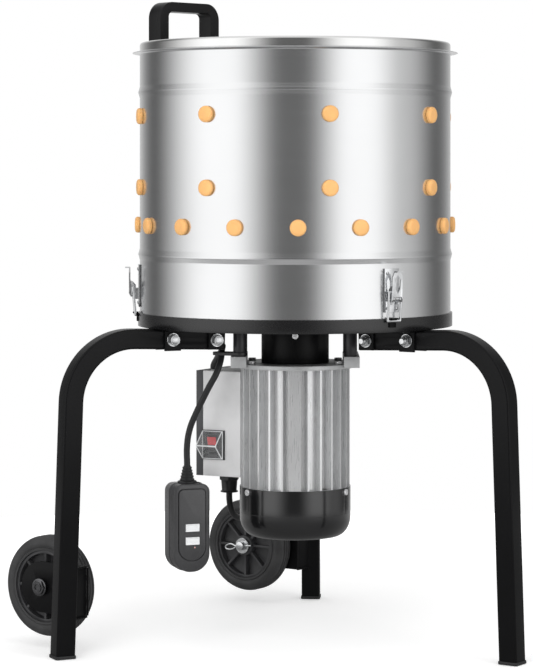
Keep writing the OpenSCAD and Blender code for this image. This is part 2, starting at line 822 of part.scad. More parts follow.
module gearbox_housing() {
    bearing_seat = tray_z - 2 * bearing_w - 1;
    color("#161617") at(0, 0, 0) difference() {
        translate([0, 0, shield_top]) cylinder(d = gearbox_od, h = gearbox_h);
        translate([0, 0, shield_top - eps])
            linear_extrude(carrier_z - shield_top - carrier_room + eps) polygon(ring_outline());
        translate([0, 0, carrier_z - carrier_room])
            cylinder(r = carrier_r + carrier_room, h = carrier_t + 2 * carrier_room);
        translate([0, 0, carrier_z + carrier_t]) cylinder(r = out_shaft_r + 3, h = gearbox_h);
        translate([0, 0, bearing_seat]) cylinder(r = bearing_r, h = gearbox_h);
        rotate(ear_az - 90) translate([gearbox_od / 2, 0, tray_z - 12]) rotate([0, 90, 0])
            screw_hole(screw_r, screw_bite);
    }
}

// Two sealed bearings on the output shaft and two on the motor shaft
module bearings() {
    color("#a8aaac") {
        for (z = [tray_z - 2 * bearing_w - 1, tray_z - bearing_w])
            at(0, 0, z) ring(bearing_r, out_shaft_r + fit, bearing_w);
        for (z = [motor_top - motor_bearing_w, motor_bottom])
            at(0, 0, z) ring(motor_bearing_r, shaft_r + fit, motor_bearing_w);
    }
}

// Motor

module standoff_places() {
    at(ear_az) for (x = [-1, 1], y = [-1, 1])
        translate([x * standoff_x, y * standoff_y, 0]) children();
}

module motor_shield() {
    color("#b9bbbd") difference() {
        at(ear_az) {
            translate([0, 0, motor_top]) cylinder(r = shield_r, h = shield_t);
            for (side = [0, 1]) mirror([side, 0, 0])
                translate([ear_in, -ear_half, motor_top + 2])
                    cube([ear_out - ear_in, 2 * ear_half, ear_top - motor_top - 2]);
            translate([0, 0, motor_top - spigot_h]) ring(motor_bore_r, motor_bore_r - 4, spigot_h + eps);
            translate([0, 0, motor_top - motor_bearing_w - 3])
                cylinder(r = boss_r, h = motor_bearing_w + 3 + eps);
        }
        at(0, 0, motor_top - motor_bearing_w - 4) cylinder(r = motor_bearing_r, h = motor_bearing_w + 4);
        at(0, 0, motor_top - eps) cylinder(r = shaft_r + 1, h = shield_t + 2 * eps);
        standoff_places() translate([0, 0, motor_top])
            cylinder(r = standoff_bolt_d / 2 + fit, h = ear_top - motor_top + eps);
        shield_screw_places() screw_hole(2.5, shield_t - 1);
    }
}

// Finned tube with one wide pad, turned to face away from the ears' line
module motor_body() {
    pad_w = 15;
    color("#c3c5c7") at(ear_az, 0, motor_bottom) difference() {
        union() {
            cylinder(r = fin_root_r, h = motor_len);
            for (k = [1 : fin_count - 1]) rotate(-90 + 360 * k / fin_count)
                translate([fin_root_r - 2, -fin_t / 2, 0])
                    cube([motor_od / 2 - fin_root_r + 2, fin_t, motor_len]);
            rotate(-90) translate([fin_root_r - 2, -pad_w / 2, 0])
                cube([motor_od / 2 - fin_root_r + 1.2, pad_w, motor_len]);
        }
        translate([0, 0, -eps]) cylinder(r = motor_bore_r, h = motor_len + 2 * eps);
    }
}

// Laminated core and the two wound ends
module stator() {
    wind_h = 20;
    color("#7c7e80") at(0, 0, core_mid - core_len / 2) ring(motor_bore_r, rotor_r + air_gap, core_len);
    color("#b4622d") for (z = [core_mid - core_len / 2 - wind_h, core_mid + core_len / 2])
        at(0, 0, z) ring(motor_bore_r - 4, rotor_r + 4, wind_h);
}

// Rotor core, shaft and the sun pinion
module rotor() {
    color("#77797b") at(0, 0, 0) {
        translate([0, 0, core_mid - core_len / 2]) cylinder(r = rotor_r, h = core_len);
        translate([0, 0, motor_bottom]) cylinder(r = shaft_r, h = motor_top - motor_bottom + 2);
        translate([0, 0, cover_bottom + 22]) cylinder(r = fan_shaft_r, h = motor_bottom - cover_bottom - 21);
        translate([0, 0, motor_top]) cylinder(r = pinion_r, h = gear_z - motor_top + eps);
        translate([0, 0, gear_z]) rotate(180 / sun_teeth) linear_extrude(gear_w)
            polygon(gear_outline(sun_teeth));
    }
}

module cooling_fan() {
    blades = 8;
    fan_z = cover_bottom + 24;
    fan_h = 24;
    color("#1d1d1f") at(0, 0, fan_z) difference() {
        union() {
            cylinder(r = fan_shaft_r + 6, h = fan_h);
            translate([0, 0, fan_h - 2]) cylinder(r = fan_r, h = 2);
            for (k = [0 : blades - 1]) rotate(360 * k / blades)
                translate([fan_shaft_r + 3, -1, 0]) cube([fan_r - fan_shaft_r - 4, 2, fan_h - 1]);
        }
        translate([0, 0, -eps]) cylinder(r = fan_shaft_r, h = fan_h + 2 * eps);
    }
}

module end_shield() {
    color("#b0b2b4") difference() {
        at(0, 0, motor_bottom) union() {
            translate([0, 0, -end_shield_t]) cylinder(r = end_shield_r, h = end_shield_t);
            translate([0, 0, -eps]) cylinder(r = boss_r, h = motor_bearing_w + eps);
            translate([0, 0, -eps]) ring(motor_bore_r, motor_bore_r - 4, spigot_h + eps);
        }
        at(0, 0, motor_bottom) cylinder(r = motor_bearing_r, h = motor_bearing_w + eps);
        at(0, 0, motor_bottom - end_shield_t - eps)
            cylinder(r = fan_shaft_r + 1, h = end_shield_t + 2 * eps);
        cover_screw_places() screw_hole(screw_r, cover_screw_len);
    }
}

function cover_line(inset) = concat(
    [[cover_od / 2 - inset, cover_h]],
    [for (i = [0 : 6]) let (a = 15 * i)
        [cover_flat_r + (cover_od / 2 - cover_flat_r - inset) * cos(a),
            cover_round_z - (cover_round_z - inset) * sin(a)]]);

module fan_cover() {
    slots = 20;
    outer = cover_line(0);
    inner = cover_line(cover_wall);
    color("#17181a") difference() {
        at(0, 0, cover_bottom)
            rotate_extrude() polygon(concat([[0, 0]], backwards(outer), inner, [[0, cover_wall]]));
        for (k = [0 : slots - 1]) at(360 * k / slots, 16, cover_bottom - eps)
            translate([0, -1.5, 0]) cube([32, 3, cover_wall + 2 * eps]);
        cover_screw_places() screw_hole(screw_r, cover_screw_len);
    }
}

// One small pan-head screw: z = 0 is its head's seat
module screw(r, depth) {
    cylinder(r = 2 * r, h = 1.4 * r);
    translate([0, 0, -depth]) cylinder(r = r, h = depth + eps);
}

// The hole that one small screw needs
module screw_hole(r, depth) {
    translate([0, 0, -depth]) cylinder(r = r + fit, h = depth + eps);
}

module cover_screw_places() {
    for (az = cover_screw_azimuths)
        at(az, cover_od / 2, motor_bottom - end_shield_t / 2) rotate([0, 90, 0]) children();
}

module lid_screw_places() {
    for (y = [-1, 1], z = [box_bottom + 10, box_top - 10])
        at(box_az, box_reach, z) translate([0, y * (box_w / 2 - 9), 0]) rotate([0, 90, 0]) children();
}

module shield_screw_places() {
    at(ear_az) for (x = [-1, 1], y = [-1, 1])
        translate([x * shield_screw_x, y * shield_screw_y, shield_top]) children();
}

module vent_screw_place() {
    at(ear_az - 90, gearbox_od / 2, tray_z - 12) rotate([0, 90, 0]) children();
}

module handle_screw_places() {
    for (y = [-1, 1]) at(handle_az, handle_in + handle_depth / 2 + 3, shelf_z - shelf_t)
        translate([0, y * (handle_w - handle_leg) / 2, 0]) rotate([180, 0, 0]) children();
}

module small_screws() {
    color("silver") {
        cover_screw_places() screw(screw_r, cover_screw_len);
        lid_screw_places() screw(screw_r, lid_t);
        shield_screw_places() screw(2.5, shield_t - 1);
        vent_screw_place() screw(screw_r, screw_bite);
        handle_screw_places() screw(2.5, shelf_t + handle_screw_bite);
    }
}

module standoffs() {
    color("#26272a") standoff_places() translate([0, 0, ear_top])
        ring(standoff_d / 2, standoff_bolt_d / 2 + fit, tray_z - ear_top);
}

// Bolts through the tray and the standoffs into the motor's ears
module standoff_bolts() {
    head_t = 5;
    color("silver") standoff_places() {
        translate([0, 0, motor_top + 3])
            cylinder(d = standoff_bolt_d, h = floor_z - motor_top - 3 + eps);
        translate([0, 0, floor_z]) hex(standoff_bolt_d * 1.6, head_t);
    }
}

// Junction box and switch

module box_frame() {
    at(box_az) children();
}

module junction_box() {
    color("#b7b8ba") difference() {
        box_frame() translate([box_in, -box_w / 2, box_bottom]) cube([box_seat - box_in, box_w, box_h]);
        box_frame() translate([box_floor_x, box_wall - box_w / 2, box_bottom + box_wall])
            cube([box_reach, box_w - 2 * box_wall, box_h - 2 * box_wall]);
        at(0, 0, box_bottom - eps) cylinder(r = saddle_r, h = box_h + 2 * eps);
        box_frame() translate([switch_x, box_w / 2, switch_z])
            cube([rocker_w + 6, 4 * box_wall, rocker_h + 4], center = true);
        box_frame() translate([gland_x, 0, box_bottom - eps])
            cylinder(r = gland_d / 2 - 4, h = box_wall + 2 * eps);
    }
}

module box_lid() {
    color("#3a3b3e") difference() {
        box_frame() translate([box_seat, -box_w / 2, box_bottom]) cube([lid_t, box_w, box_h]);
        lid_screw_places() screw_hole(screw_r, lid_t + eps);
    }
}

module capacitor() {
    cap_r = 14;
    cap_h = 80;
    color("#d8d8d4") box_frame()
        translate([box_floor_x + cap_r + slip, -cap_r - 2, box_top - box_wall - cap_h])
        cylinder(r = cap_r, h = cap_h - slip);
}

// Rocker switch: its frame fills the cut in the box wall, and its plate lies on the wall
module switch_body() {
    frame_w = rocker_w + 6 - slip;
    frame_h = rocker_h + 4 - slip;
    color("#1b1b1d") box_frame() translate([switch_x, box_w / 2, switch_z]) difference() {
        union() {
            translate([0, switch_t / 2, 0]) cube([switch_w, switch_t, switch_h], center = true);
            translate([0, -9, 0]) cube([frame_w, 18, frame_h], center = true);
        }
        translate([0, -2, 0]) cube([rocker_w + 1, 16, rocker_h + 1], center = true);
        rotate([0, 90, 0]) cylinder(r = rocker_pin_r + fit, h = rocker_w + 5, center = true);
    }
}

// The rocker turns on its own pins, which lie along the box wall
module switch_rocker() {
    dip = 4;
    color("#c8202a") box_frame() translate([switch_x, box_w / 2, switch_z]) {
        rotate([0, 90, 0]) cylinder(r = rocker_pin_r, h = rocker_w + 4, center = true);
        rotate([0, 90, 0]) linear_extrude(rocker_w, center = true) polygon([
            [2 - rocker_h / 2, 3.5], [1.6 - rocker_h / 2, 6], [0, dip], [rocker_h / 2 - 2.5, 4.5],
            [rocker_h / 2 - 3, 1.5], [4, -3], [-4, -3]]);
    }
}

// Clear gable-shaped boot over the rocker
module switch_boot() {
    color("#dfe3e6") box_frame() translate([switch_x, box_w / 2 + switch_t, switch_z])
        difference() {
            boot_form(0);
            boot_form(boot_wall);
        }
}

module boot_form(inset) {
    half = switch_h / 2 - 1.5 - inset;
    rotate([0, 90, 0]) linear_extrude(switch_w - 5 - 2 * inset, center = true) polygon([
        [-half, inset > 0 ? -eps : 0], [-half, 2], [-1.5, boot_out - 1.2 * inset],
        [1.5, boot_out - 1.2 * inset], [half, 2], [half, inset > 0 ? -eps : 0]]);
}

module cable_gland() {
    nut_t = 8;
    color("#151517") box_frame() translate([gland_x, 0, box_bottom - gland_len]) difference() {
        union() {
            translate([0, 0, gland_len - nut_t]) hex(gland_d, nut_t);
            cylinder(d = gland_d - 2, h = gland_len - nut_t + eps);
            translate([0, 0, gland_len - eps]) cylinder(r = gland_d / 2 - 4 - fit, h = box_wall + 5);
        }
        translate([0, 0, eps]) cylinder(r = lead_r + 1, h = gland_len + box_wall + 8);
    }
}

// Handle

module handle_outline() {
    h = handle_top - shelf_z;
    c = handle_corner;
    difference() {
        union() {
            translate([-handle_w / 2, 0]) square([handle_w, h - c]);
            translate([c - handle_w / 2, 0]) square([handle_w - 2 * c, h]);
            for (x = [-1, 1]) translate([x * (handle_w / 2 - c), h - c]) circle(r = c);
        }
        translate([handle_leg - handle_w / 2, -eps])
            square([handle_w - 2 * handle_leg, h - handle_bar - c + handle_leg + eps]);
        translate([c - handle_w / 2, 0])
            square([handle_w - 2 * c, h - handle_bar]);
        for (x = [-1, 1]) translate([x * (handle_w / 2 - c), h - handle_bar - c + handle_leg])
            circle(r = c - handle_leg);
    }
}

module handle() {
    color("#1a1a1c") difference() {
        at(handle_az, handle_in, shelf_z) rotate([90, 0, 90]) linear_extrude(handle_depth) handle_outline();
        at(0, 0, shelf_z - eps) cylinder(r = drum_r + rim_out + slip, h = rim_z - shelf_z + slip + eps);
        handle_screw_places() screw_hole(2.5, shelf_t + handle_screw_bite);
    }
}

// Shelf riveted to the drum wall under the rim, on which the handle stands
module handle_bracket() {
    leaf_t = 2;
    leaf_h = 30;
    color("#1c1c1e") difference() {
        intersection() {
            at(0, 0, shelf_z - shelf_t - leaf_h) difference() {
                union() {
                    cylinder(r = drum_r + leaf_t, h = leaf_h + shelf_t);
                    translate([0, 0, leaf_h]) cylinder(r = handle_in + handle_depth, h = shelf_t);
                }
                translate([0, 0, -eps]) cylinder(r = drum_r, h = leaf_h + shelf_t + 2 * eps);
            }
            at(handle_az, drum_r, shelf_z - shelf_t - leaf_h) translate([0, 0, (leaf_h + shelf_t) / 2])
                cube([4 * handle_depth, handle_w, leaf_h + shelf_t], center = true);
        }
        handle_screw_places() screw_hole(2.5, shelf_t + eps);
    }
}

// Latches

module latch_base(i) {
    at(latch_azimuths[i]) {
        translate([drum_r + fit, -latch_w / 2, latch_z]) cube([latch_plate_t, latch_w, latch_h]);
        for (side = [0, 1]) mirror([0, side, 0]) translate([0, latch_ear_in, latch_pin_z]) {
            translate([drum_r + latch_plate_t / 2, 0, -7])
                cube([latch_pin_x - drum_r - latch_plate_t / 2, latch_ear_t, 14]);
            translate([latch_pin_x, latch_ear_t / 2, 0]) cross_cylinder(4, latch_ear_t);
        }
        translate([latch_pin_x, 0, latch_pin_z])
            cross_cylinder(latch_pin_d / 2, 2 * (cheek_in + cheek_t));
    }
}

module latch_bases() {
    color("#d3d4d6") for (i = [0 : 2]) latch_base(i);
}

// Flat hooks on the tray's rim, under which the bails pull
module latch_keepers() {
    keeper_h = 12;
    color("#1c1c1e") for (az = latch_azimuths) at(az, tray_r, keeper_lip_z + keeper_t - keeper_h) {
        translate([0, -keeper_w / 2, 0]) cube([keeper_t, keeper_w, keeper_h]);
        translate([0, -keeper_w / 2, keeper_h - keeper_t])
            cube([keeper_reach - tray_r, keeper_w, keeper_t]);
    }
}

module latch_lever(i) {
    lever_h = 34;
    lever_t = 1.5;
    lip = 5;
    x1 = 5;
    color("#dcdddf") at(latch_azimuths[i], latch_pin_x, latch_pin_z) {
        for (side = [0, 1]) mirror([0, side, 0]) translate([0, cheek_in + cheek_t, 0])
            rotate([90, 0, 0]) linear_extrude(cheek_t) difference() {
                polygon([[-3.5, -4], [3, -4], [x1, 0], [x1, latch_throw + 9], [0, latch_throw + 7],
                    [-3.5, latch_throw + 3]]);
                circle(r = latch_pin_d / 2 + fit);
                translate([0, latch_throw]) circle(r = bail_d / 2 + fit);
            }
        translate([x1 - lever_t, -cheek_in - cheek_t, 2])
            cube([lever_t, 2 * (cheek_in + cheek_t), lever_h - 2]);
        translate([x1 - lever_t, -cheek_in - cheek_t, lever_h - lever_t])
            cube([lever_t + lip, 2 * (cheek_in + cheek_t), lever_t]);
    }
}

// Square wire loop from the lever down to the keeper
module latch_bail(i) {
    p_top = [latch_pin_x, bail_z];
    p_low = [hook_x, hook_z];
    fall = norm(p_top - p_low);
    lean = atan2(p_top[0] - p_low[0], p_top[1] - p_low[1]);
    color("#c8cacc") at(latch_azimuths[i]) {
        for (side = [0, 1]) mirror([0, side, 0]) {
            translate([p_low[0], bail_y, p_low[1]]) rotate([0, lean, 0]) cylinder(d = bail_d, h = fall);
            for (p = [p_top, p_low]) translate([p[0], bail_y, p[1]]) sphere(d = bail_d + fit);
            translate([p_top[0], (bail_y + cheek_in) / 2 + 0.1, p_top[1]])
                cross_cylinder(bail_d / 2, bail_y - cheek_in - 0.2);
        }
        translate([p_low[0], 0, p_low[1]]) cross_cylinder(bail_d / 2, 2 * bail_y);
    }
}

// Lead, coil, ties and plug

// Points of the coil in its own plane: u outwards, v up, w across the layers
function coil_r(t) = coil_start_r - coil_pitch * (coil_turns / 2 - abs(t - coil_turns / 2));
function coil_w(t) = coil_layer * (min(1, max(0, (t - coil_turns / 2) * 2 + 0.5)) - 0.5);
function coil_point(t) = [coil_r(t) * cos(180 - 360 * t), coil_r(t) * sin(180 - 360 * t), coil_w(t)];
function to_coil_place(p) =
    let (r = coil_mid_r + p[0])
    [r * cos(coil_az) - p[2] * sin(coil_az), r * sin(coil_az) + p[2] * cos(coil_az), coil_z + p[1]];
coil_path = concat(
    [coil_point(0) - [0, lead_d, 0]],
    [for (i = [0 : coil_turns * coil_rings]) coil_point(i / coil_rings)],
    [coil_point(coil_turns) - [lead_d, 0, 0]]);
coil_places = [for (p = coil_path) to_coil_place(p)];
coil_gap = min([for (i = [0 : len(coil_path) - 1], j = [0 : len(coil_path) - 1])
    if (j > i + coil_rings / 2) norm(coil_path[i] - coil_path[j])]) - lead_d;

gland_exit = [
    gland_x * cos(box_az), gland_x * sin(box_az), box_bottom - gland_len
];
plug_entry = [plug_x, plug_y, plug_top + relief_h];
path_upper = concat([gland_exit, gland_exit - [0, 0, lead_d]], route_upper,
    [coil_places[0]]);
path_lower = concat([coil_places[len(coil_places) - 1]], route_lower, [plug_entry]);

function path_length(p) = len(p) < 2 ? 0 : norm(p[1] - p[0])
    + path_length([for (i = [1 : len(p) - 1]) p[i]]);
echo(least_gap_in_coil = coil_gap);
echo(lead_lengths = [path_length(path_upper), path_length(coil_path), path_length(path_lower)]);

module lead_upper() {
    color("#111112") translate([0, axis_y, 0]) tube(path_upper, lead_r, tube_sides, [1, 0, 0]);
}

module lead_coil() {
    color("#111112") translate([0, axis_y, 0]) tube(coil_places, lead_r, coil_sides, [1, 0, 0]);
}

module lead_lower() {
    color("#111112") translate([0, axis_y, 0]) tube(path_lower, lead_r, tube_sides, [0, 0, 1]);
}

// One tie hangs the coil from the arm, and one leads the lead past a standoff
module cable_ties() {
    tie_t = 1.2;
    tie_w = 4.8;
    arm_mid = arm_z + tan(leg_tilt) * (coil_mid_r - arm_in);
    coil_low = coil_z + coil_start_r - coil_pitch * coil_turns / 2 - lead_r - slip;
    arm_half = leg_w / 2 + 0.1;
    coil_half = coil_layer / 2 + lead_r + slip;
    color("#0e0e0f") {
        at(coil_az, coil_mid_r, 0) translate([-tie_w / 2, 0, 0]) rotate([90, 0, 90]) linear_extrude(tie_w)
            difference() {
                polygon([[-arm_half - tie_t, arm_mid + arm_half + tie_t],
                    [-arm_half - tie_t, arm_mid - arm_half],
                    [-coil_half - tie_t, coil_low - tie_t], [coil_half + tie_t, coil_low - tie_t],
                    [arm_half + tie_t, arm_mid - arm_half], [arm_half + tie_t, arm_mid + arm_half + tie_t]]);
                polygon([[-arm_half, arm_mid + arm_half], [-arm_half, arm_mid - arm_half],
                    [-coil_half, coil_low], [coil_half, coil_low],
                    [arm_half, arm_mid - arm_half], [arm_half, arm_mid + arm_half]]);
            }
        translate([0, axis_y, ear_top + 1.2]) linear_extrude(tie_w - 0.8) difference() {
            tie_outline(tie_t);
            tie_outline(0);
        }
    }
}

module tie_outline(grow) {
    standoff_place = [
        -standoff_x * cos(ear_az) + standoff_y * sin(ear_az),
        -standoff_x * sin(ear_az) - standoff_y * cos(ear_az)
    ];
    hull() {
        translate(standoff_place) circle(r = standoff_d / 2 + slip + grow);
        translate(tie_place) circle(r = lead_r + tie_room + grow);
    }
}

module plug_frame() {
    translate([plug_x, axis_y + plug_y, 0]) rotate(plug_az) children();
}

module plug_body() {
    corner = 9;
    tongue_w = plug_w - 12;
    tongue_h = plug_h - 15;
    color("#232427") plug_frame() {
        difference() {
            union() {
                translate([-plug_depth / 2, 0, plug_top - plug_h / 2]) rotate([90, 0, 90])
                    linear_extrude(plug_depth) soft_rect(plug_w, plug_h, corner);
                translate([plug_depth / 2 - eps, 0, plug_top - 58]) rotate([90, 0, 90])
                    linear_extrude(tongue_t + eps) soft_rect(tongue_w, tongue_h, corner);
            }
            for (z = [button_z_high, button_z_low])
                translate([plug_depth / 2 + tongue_t - button_deep, -button_w / 2 - slip,
                    z - button_h / 2 - slip])
                    cube([button_deep + 5, button_w + 2 * slip, button_h + 2 * slip]);
        }
        for (y = [-6.35, 6.35]) translate([-plug_depth / 2 - 16, y - 0.8, plug_top - 80])
            cube([16 + eps, 1.6, 6.4]);
        translate([-plug_depth / 2 - 18, 0, plug_top - 66]) rotate([0, 90, 0])
            cylinder(r = 2.4, h = 18 + eps);
    }
}

module plug_relief() {
    ribs = 4;
    color("#17171a") plug_frame() translate([0, 0, plug_top]) {
        cylinder(r1 = lead_r + 4.5, r2 = lead_r + 2.2, h = relief_h);
        for (k = [0 : ribs - 1]) translate([0, 0, 1 + k * relief_h / ribs])
            cylinder(r = lead_r + 6 - 0.7 * k, h = relief_h / ribs / 2);
    }
}

module button(z) {
    plug_frame() translate([plug_depth / 2 + tongue_t - button_deep + button_travel + slip,
        -button_w / 2, z - button_h / 2])
        cube([button_deep - button_travel - slip + button_proud, button_w, button_h]);
}

module test_button() {
    color("#e6e7e8") button(button_z_high);
}

module reset_button() {
    color("#e6e7e8") button(button_z_low);
}

base_tray();
leg_front();
leg_right();
leg_left();
leg_cleats();
leg_bolts();
foot_caps();
axle_bolts();
axle_clips();
wheel_hub(1);  // wheel_hub_right
wheel_tyre(1);  // wheel_tyre_right
wheel_hub(-1);  // wheel_hub_left
wheel_tyre(-1);  // wheel_tyre_left
drum_shell();
splash_ring();
drum_fingers();
outlet_duct();
feather_plate();
plate_fingers();
plate_shaft();
planet_gear(0);  // planet_gear_1
planet_gear(1);  // planet_gear_2
planet_gear(2);  // planet_gear_3
gearbox_housing();
bearings();
motor_shield();
motor_body();
stator();
rotor();
cooling_fan();
end_shield();
fan_cover();
small_screws();
standoffs();
standoff_bolts();
junction_box();
box_lid();
capacitor();
switch_body();
switch_boot();
switch_rocker();
cable_gland();
handle();
handle_bracket();
latch_bases();
latch_keepers();
latch_lever(0);  // latch_lever_1
latch_lever(1);  // latch_lever_2
latch_lever(2);  // latch_lever_3
latch_bail(0);  // latch_bail_1
latch_bail(1);  // latch_bail_2
latch_bail(2);  // latch_bail_3
lead_upper();
lead_coil();
lead_lower();
cable_ties();
plug_body();
plug_relief();
test_button();
reset_button();
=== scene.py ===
import json
import math

import bmesh
import bpy
from mathutils import Matrix, Vector


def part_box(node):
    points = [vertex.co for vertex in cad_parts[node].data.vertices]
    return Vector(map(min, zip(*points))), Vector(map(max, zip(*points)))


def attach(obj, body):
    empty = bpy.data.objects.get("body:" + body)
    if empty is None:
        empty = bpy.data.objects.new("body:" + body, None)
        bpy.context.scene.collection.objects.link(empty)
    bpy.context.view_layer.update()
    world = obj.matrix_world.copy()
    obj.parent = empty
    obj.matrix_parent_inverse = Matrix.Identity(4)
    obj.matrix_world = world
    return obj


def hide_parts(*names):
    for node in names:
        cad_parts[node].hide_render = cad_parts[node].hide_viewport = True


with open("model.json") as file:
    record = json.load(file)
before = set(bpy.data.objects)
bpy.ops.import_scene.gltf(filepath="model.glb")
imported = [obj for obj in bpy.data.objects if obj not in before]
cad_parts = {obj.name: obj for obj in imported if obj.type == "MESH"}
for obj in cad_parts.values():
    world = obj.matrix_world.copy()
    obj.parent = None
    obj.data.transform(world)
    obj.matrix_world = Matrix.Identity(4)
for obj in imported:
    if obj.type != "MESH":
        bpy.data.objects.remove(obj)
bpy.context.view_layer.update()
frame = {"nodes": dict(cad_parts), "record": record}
solids = frame["nodes"]
carrier = {node: body for body, members in frame["record"]["behaviour"]["bodies"].items()
           for node in members}
bpy.ops.object.select_all(action="DESELECT")


# Camera
# The photograph was taken level, from about 3.4 m off and 0.6 m up, with a long lens. The small shift
# puts the machine where it stands in the photograph's frame. The drum's axis stands at axis_y.
axis_y = 0.022172
bpy.ops.object.camera_add(location=(-2.8186, -1.8791, 0.6034),
                          rotation=(math.radians(90), 0, math.radians(-56)))
camera = bpy.context.object
camera.data.lens = 142.06
camera.data.sensor_width = 36
camera.data.shift_x = -0.0430
camera.data.shift_y = -0.2455
camera.data.clip_start = 0.1
camera.data.clip_end = 40
bpy.context.scene.camera = camera
camera.select_set(False)


# Mains lead
# An 8 mm black rubber lead from the box's gland to the plug. The spare length is wound in two
# layers and hangs from the right leg's arm by a tie. Its route and coil are in mm from the drum's axis.
lead_d = 0.008
lead_upper = [
    (-6, 97, 160), (4, 98, 150), (18, 99, 146), (36, 97, 147), (54, 91, 150), (70, 80, 158),
    (80, 65, 170), (83, 51, 186), (81, 43, 205), (81, 42, 228), (81, 42, 250), (81, 42, 275),
]
lead_lower = [
    (102, 64, 259), (86, 60, 263), (70, 66, 270), (59, 80, 278), (53, 97, 287), (47, 113, 297),
    (39, 128, 308), (24, 140, 321), (8, 136, 341), (-9, 118, 356), (-29, 97, 367),
    (-48, 81, 375), (-64, 69, 377), (-77, 61, 373), (-88, 55, 361), (-96, 56, 345),
    (-102, 63, 328), (-107, 70, 311), (-112, 77, 293), (-116, 83, 275), (-118, 86, 255),
]
coil_turns, coil_steps = 3.75, 24
coil_r, turn_pitch, layer_pitch = 57, 8.7, 8.6
coil_azimuth, coil_away, coil_z = math.radians(30), 148, 315.54
box_azimuth, gland_r, gland_z = 96, 0.0975, 0.1827
gland_way = math.radians(box_azimuth)
gland_exit = Vector((gland_r * math.cos(gland_way), axis_y + gland_r * math.sin(gland_way), gland_z))
plug_x, plug_y = -0.118, axis_y + 0.086
case_low, case_high, sleeve_l = 0.095, 0.206, 0.022
plug_entry = Vector((plug_x, plug_y, case_high + sleeve_l))


def in_metres(point):
    """A point of the route or the coil, in the scene's metres."""
    return Vector((point[0] / 1000, axis_y + point[1] / 1000, point[2] / 1000))


def coil_spot(u, v, across):
    """A point of the coil's own plane: u outwards, v up, and across its two layers."""
    out = coil_away + u
    return in_metres((out * math.cos(coil_azimuth) - across * math.sin(coil_azimuth),
                      out * math.sin(coil_azimuth) + across * math.cos(coil_azimuth), coil_z + v))


def coil_place(turn):
    """A point of the coil after so many turns: inwards in one layer, then outwards in the other."""
    middle = coil_turns / 2
    r = coil_r - turn_pitch * (middle - abs(turn - middle))
    across = layer_pitch * (min(1, max(0, (turn - middle) * 2 + 0.5)) - 0.5)
    way = math.pi - math.tau * turn
    return coil_spot(r * math.cos(way), r * math.sin(way), across)


def linked(name, data):
    """A new object in the scene."""
    piece = bpy.data.objects.new(name, data)
    bpy.context.scene.collection.objects.link(piece)
    return piece


def round_curve(name, r, steps):
    """A curve of round section with closed ends, still without points."""
    curve = bpy.data.curves.new(name, "CURVE")
    curve.dimensions = "3D"
    curve.bevel_depth = r
    curve.bevel_resolution = steps
    curve.use_fill_caps = True
    return curve


def spline_through(curve, points, closed=False, soft=True):
    """Gives a curve one spline through some points, with soft or sharp bends."""
    spline = curve.splines.new("BEZIER")
    spline.bezier_points.add(len(points) - 1)
    spline.use_cyclic_u = closed
    for knot, place in zip(spline.bezier_points, points):
        knot.co = place
        knot.handle_left_type = knot.handle_right_type = "AUTO" if soft else "VECTOR"


wound = [coil_place(i / coil_steps) for i in range(int(coil_turns * coil_steps) + 1)]
before = coil_spot(-coil_r, -lead_d * 1000, -layer_pitch / 2)
lead_line = [gland_exit, gland_exit - Vector((0, 0, lead_d))] + [in_metres(p) for p in lead_upper]
lead_line += [before] + wound + [wound[-1] + (wound[-1] - wound[-2]).normalized() * lead_d]
lead_line += [in_metres(p) for p in lead_lower] + [plug_entry]
lead_curve = round_curve("mains_lead", lead_d / 2, 5)
lead_curve.resolution_u = 4
spline_through(lead_curve, lead_line)
lead = linked("mains_lead", lead_curve)


def ranged(tree, value, source, target):
    """A value mapped from one range to another."""
    node = tree.nodes.new("ShaderNodeMapRange")
    for label, number in zip(("From Min", "From Max", "To Min", "To Max"), (*source, *target)):
        node.inputs[label].default_value = number
    tree.links.new(value, node.inputs["Value"])
    return node.outputs["Result"]


